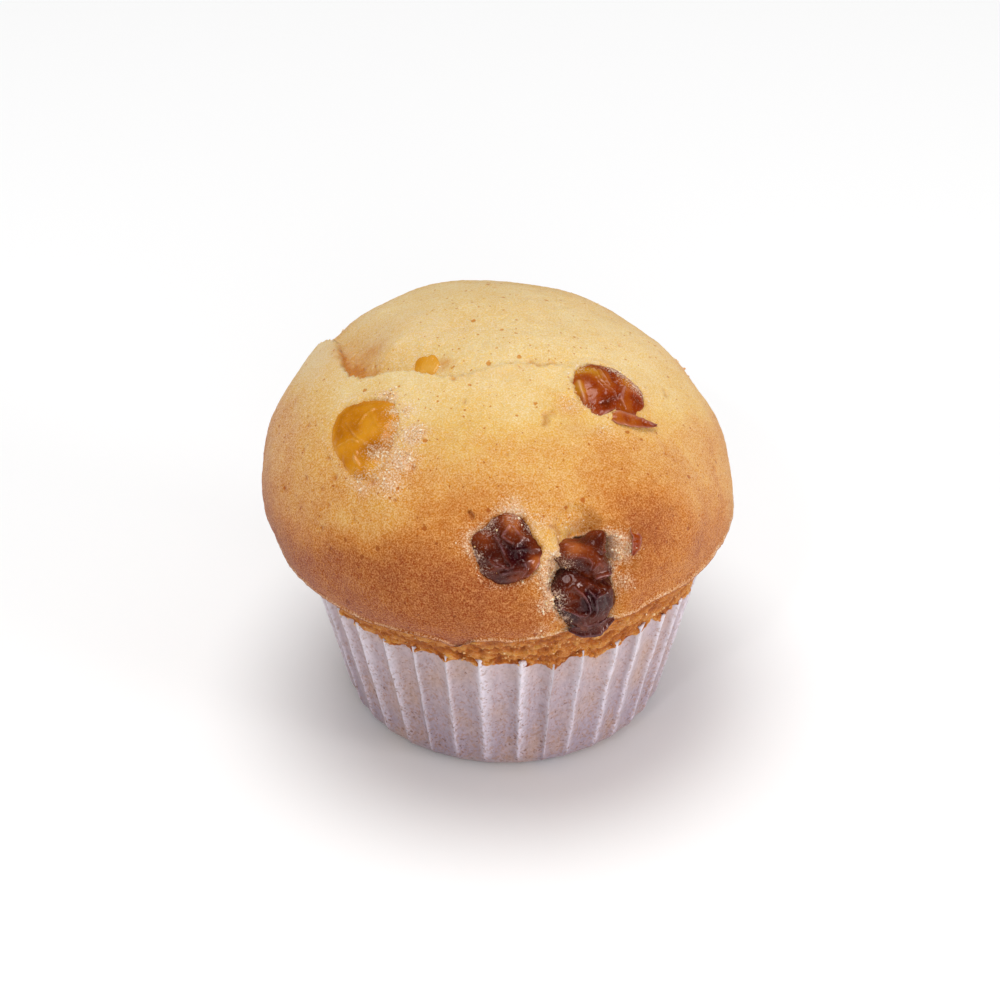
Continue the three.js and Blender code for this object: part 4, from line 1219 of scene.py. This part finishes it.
def crustMaterial(name, sheen):
    s = Shader(name)
    grain = s.spread(s.noise(3900, 3.0, 0.72), 0.41, 0.62)
    soft = s.spread(s.noise(800, 2.0, 0.5), 0.34, 0.66)
    mottle = s.spread(s.noise(170, 3.0, 0.55), 0.3, 0.7)
    level = s.maths("MULTIPLY_ADD", mottle, 0.14, s.painted("baked"))
    level = s.maths("MULTIPLY_ADD", soft, 0.06, level)
    level = s.maths("SUBTRACT", level, 0.10)
    ground = s.ramp(level, *crustColours["ground"])
    colour = s.mix(s.maths("MULTIPLY", grain, 0.85), ground, s.ramp(level, *crustColours["grain"]))
    crumb = s.mix(grain, crustColours["torn"], crustColours["pale"])
    paleness = s.maths("MULTIPLY_ADD", grain, 0.5, s.painted("pale"))
    colour = s.mix(s.spread(paleness, 0.45, 1.3, 0.0, 0.9), colour, crumb)

    uneven = s.warped(1800, 0.0005)
    holes = s.maths("MAXIMUM", s.pores(uneven, 420, 0.3, 0.17), s.pores(uneven, 1000, 0.3, 0.2))
    # painted shade: pores and all that is painted deep take the darker orange
    shadedHollow = s.maths("MAXIMUM", s.maths("MULTIPLY", holes, 0.85), s.maths("MULTIPLY", s.painted("deep"), 0.8))
    colour = s.mix(shadedHollow, colour, s.ramp(level, *crustColours["pore"]))
    relief = s.bump(s.maths("MULTIPLY_ADD", holes, -1.2, grain), 0.00016, 0.6)
    return s.finish(Base_Color=colour, Roughness=0.62, Normal=relief, Specular_IOR_Level=0.2,
                    Subsurface_Weight=0.06, Subsurface_Radius=(1.0, 0.5, 0.25), Subsurface_Scale=0.0005,
                    Sheen_Weight=sheen, Sheen_Roughness=0.2, Sheen_Tint=(0.85, 0.75, 1, 1))


def paperMaterial():
    s = Shader("baking_paper")
    fibre = s.noise(1500, 3.0, 0.65, s.stretched((1, 1, 0.6)), 0.4)
    cloud = s.noise(150, 2.0)
    specks = s.noise(2300, 1.5, 0.5, s.stretched((1, 1, 0.75)))
    clumps = s.noise(420, 2.0)
    flute = s.painted("flute")
    climb = s.painted("climb")
    # painted light and shade: the creases paler than the flutes; both darker towards the bottom
    ridge = s.mix(climb, tone(200, 187, 203), tone(228, 220, 228))
    shadedHollow = s.mix(climb, tone(152, 135, 150), tone(190, 171, 175))
    colour = s.mix(s.spread(flute, 0.0, 0.62), ridge, shadedHollow)
    tan = s.maths("MULTIPLY", s.spread(cloud, 0.44, 0.68), s.maths("MULTIPLY", flute, 0.5))
    colour = s.mix(tan, colour, tone(188, 150, 122))
    lowness = s.maths("ADD", s.spread(climb, 0.0, 1.0, 0.10, 0.0), s.spread(clumps, 0.3, 0.7, -0.05, 0.06))
    speck = s.spread(s.maths("ADD", specks, lowness), 0.58, 0.72)
    colour = s.mix(s.maths("MULTIPLY", speck, 0.5), colour, tone(158, 112, 84))
    darkSpeck = s.spread(s.maths("ADD", s.noise(1700, 1.0), lowness), 0.74, 0.80)
    colour = s.mix(s.maths("MULTIPLY", darkSpeck, 0.6), colour, tone(104, 62, 50))
    colour = s.mix(1.0, colour, s.spread(fibre, 0.3, 0.7, 0.86, 1.14), "MULTIPLY")
    relief = s.bump(fibre, 0.00015, 0.5)
    return s.finish(Base_Color=colour, Roughness=0.7, Normal=relief, Specular_IOR_Level=0.3,
                    Subsurface_Weight=0.15, Subsurface_Radius=(0.6, 0.5, 0.5), Subsurface_Scale=0.001,
                    Sheen_Weight=0.15, Sheen_Roughness=0.5)


def skinMaterial(kind):
    s = Shader(kind + "_raisin_skin")
    dark, deep, middle, light = skins[kind]
    cloud = s.noise(420, 3.0, 0.6)
    grain = s.spread(s.noise(3600, 2.0, 0.6), 0.4, 0.62)
    shade = s.maths("MULTIPLY_ADD", s.spread(cloud, 0.3, 0.7), 0.2, s.painted("shade"))
    shade = s.maths("SUBTRACT", shade, 0.1)
    colour = s.ramp(shade, (0.0, dark), (0.33, deep), (0.66, middle), (1.0, light))
    # painted highlights: thin pale lines on fine creases, and the painted ridge attribute
    line = s.maths("ABSOLUTE", s.maths("SUBTRACT", s.noise(700, 2.0, 0.5), 0.5))
    highlightLines = s.maths("MULTIPLY_ADD", s.painted("ridge"), 0.6, s.spread(line, 0.0, 0.025, 0.05, 0.0))
    colour = s.mix(highlightLines, colour, ridgeHighlightTones[kind])
    covered = s.maths("MULTIPLY_ADD", grain, 0.6, s.painted("covered"))
    covered = s.spread(covered, 0.55, 1.35, 0.0, 0.92)
    colour = s.mix(covered, colour, s.mix(grain, *crumbTones[kind]))
    relief = s.bump(s.maths("MULTIPLY", grain, covered), 0.00025, 0.6)
    relief = s.bump(line, 0.0003, 0.25, relief)
    rough = s.maths("MULTIPLY_ADD", covered, 0.5, 0.16)
    return s.finish(Base_Color=colour, Roughness=rough, Normal=relief, Specular_IOR_Level=0.36,
                    Specular_Tint=(1, 0.8, 0.78, 1), Subsurface_Weight=0.03,
                    Subsurface_Radius=(1.0, 0.35, 0.1), Subsurface_Scale=0.0008)


def crumbMaterial():
    s = Shader("loose_crumb")
    fine = s.noise(2600, 2.0, 0.6)
    shade = s.maths("MULTIPLY_ADD", s.spread(fine, 0.3, 0.7), 0.3, s.painted("shade"))
    colour = s.ramp(shade, (0.1, tone(196, 132, 70)), (0.6, tone(224, 180, 126)), (1.1, tone(242, 222, 192)))
    return s.finish(Base_Color=colour, Roughness=0.7, Specular_IOR_Level=0.3, Subsurface_Weight=0.2,
                    Subsurface_Radius=(1.0, 0.6, 0.35), Subsurface_Scale=0.0006)


view = {   # the camera
    "elevation": 34.68,
    "distance": 650,
    "aim": (-0.878, 0, 35.53),
    "lens": 146.13,
    "sensor": 36,
    "nearest": 0.01,   # metres
}


def makeCamera():
    angle = math.radians(view["elevation"])
    back = Vector((0, -math.cos(angle), math.sin(angle)))
    data = bpy.data.cameras.new("camera")
    data.lens = view["lens"]
    data.sensor_width = view["sensor"]
    data.clip_start = view["nearest"]
    camera = bpy.data.objects.new("camera", data)
    camera.location = (Vector(view["aim"]) + back * view["distance"]) * metre
    camera.rotation_euler = (-back).to_track_quat("-Z", "Y").to_euler()
    bpy.context.scene.collection.objects.link(camera)
    bpy.context.scene.camera = camera


studio = {   # in metres
    "lamps": (   # name, place, size and power
        ("top", (-0.06, -0.02, 1.0), 0.6, 5.3),
        ("front", (0.10, -1.0, 0.50), 0.6, 1.9),
        ("right", (0.9, -0.45, 0.17), 0.32, 3.7),
        ("spark", (-0.25, -0.75, 0.75), 0.05, 0.6),
    ),
    "aim": (0, 0, 0.035),     # where the lamps point
    "around": 0.47,           # strength of the even white light from all sides
    "floorHalf": 3,
    "floorDrop": 0.0001,      # the floor lies this far under the paper
    "floorTone": (250, 250, 250),
}


def makeLight():
    for name, spot, size, power in studio["lamps"]:
        data = bpy.data.lights.new(name, "AREA")
        data.shape = "DISK"
        data.size = size
        data.energy = power
        lamp = bpy.data.objects.new(name, data)
        lamp.location = spot
        lamp.visible_glossy = name != "front"   # from the camera's side it would lay a veil on the skins
        aim = Vector(studio["aim"]) - lamp.location
        lamp.rotation_euler = aim.to_track_quat("-Z", "Y").to_euler()
        bpy.context.scene.collection.objects.link(lamp)
    world = bpy.data.worlds.new("studio")
    world.use_nodes = True
    background = world.node_tree.nodes["Background"]
    background.inputs["Color"].default_value = (1, 1, 1, 1)
    background.inputs["Strength"].default_value = studio["around"]
    world.cycles_visibility.glossy = False   # only the lamps show in the glossy skins
    bpy.context.scene.world = world
    settings = bpy.context.scene.view_settings
    settings.view_transform = "Standard"
    settings.look = "None"


def makeFloor():
    bm = bmesh.new()
    bmesh.ops.create_grid(bm, x_segments=1, y_segments=1, size=studio["floorHalf"])
    bmesh.ops.translate(bm, verts=bm.verts, vec=(0, 0, -studio["floorDrop"]))
    mesh = meshFrom(bm, "floor")
    s = Shader("floor")
    pale = tone(*studio["floorTone"])
    mesh.materials.append(s.finish(Base_Color=pale, Roughness=0.9, Specular_IOR_Level=0.1))
    floor = bpy.data.objects.new("floor", mesh)
    bpy.context.scene.collection.objects.link(floor)


makeCamera()
makeLight()
makeFloor()
print("stage is ready")

crustPiece = finishPiece(crustMesh(), crustMaterial("baked_crust", crust["sheen"]), "crust", "muffin_sponge")
bandPiece = finishPiece(bandMesh(), crustMaterial("torn_crumb", band["sheen"]), "crust", "muffin_sponge")
finishPiece(paperMesh(), paperMaterial(), "paper", "paper_case")

skinFinish = {kind: skinMaterial(kind) for kind in skins}
skinPieces = []
for one in raisins:
    kind = one["skin"]
    skinPieces.append(finishPiece(raisinMesh(one), skinFinish[kind], kind + "_raisin", one["name"]))
for name, skin, *shape in flakes:
    finishPiece(flakeMesh(name, *shape), skinFinish[skin], skin + "_raisin")


hosts = [(crustPiece.data, paintedOn(crustPiece.data, "crumbly") ** 2, *crumbs["crust"]),
         (bandPiece.data, paintedOn(bandPiece.data, "pale") + crumbs["bandEven"], *crumbs["band"])]
skinCrumbs, skinTint = crumbs["skins"]
for piece in skinPieces:
    weight = paintedOn(piece.data, "covered")
    if weight.max() > 0.5:   # the others carry no crumb
        hosts.append((piece.data, weight, skinCrumbs // len(skinPieces), skinTint))
finishPiece(crumbMesh(hosts), crumbMaterial(), "crust")
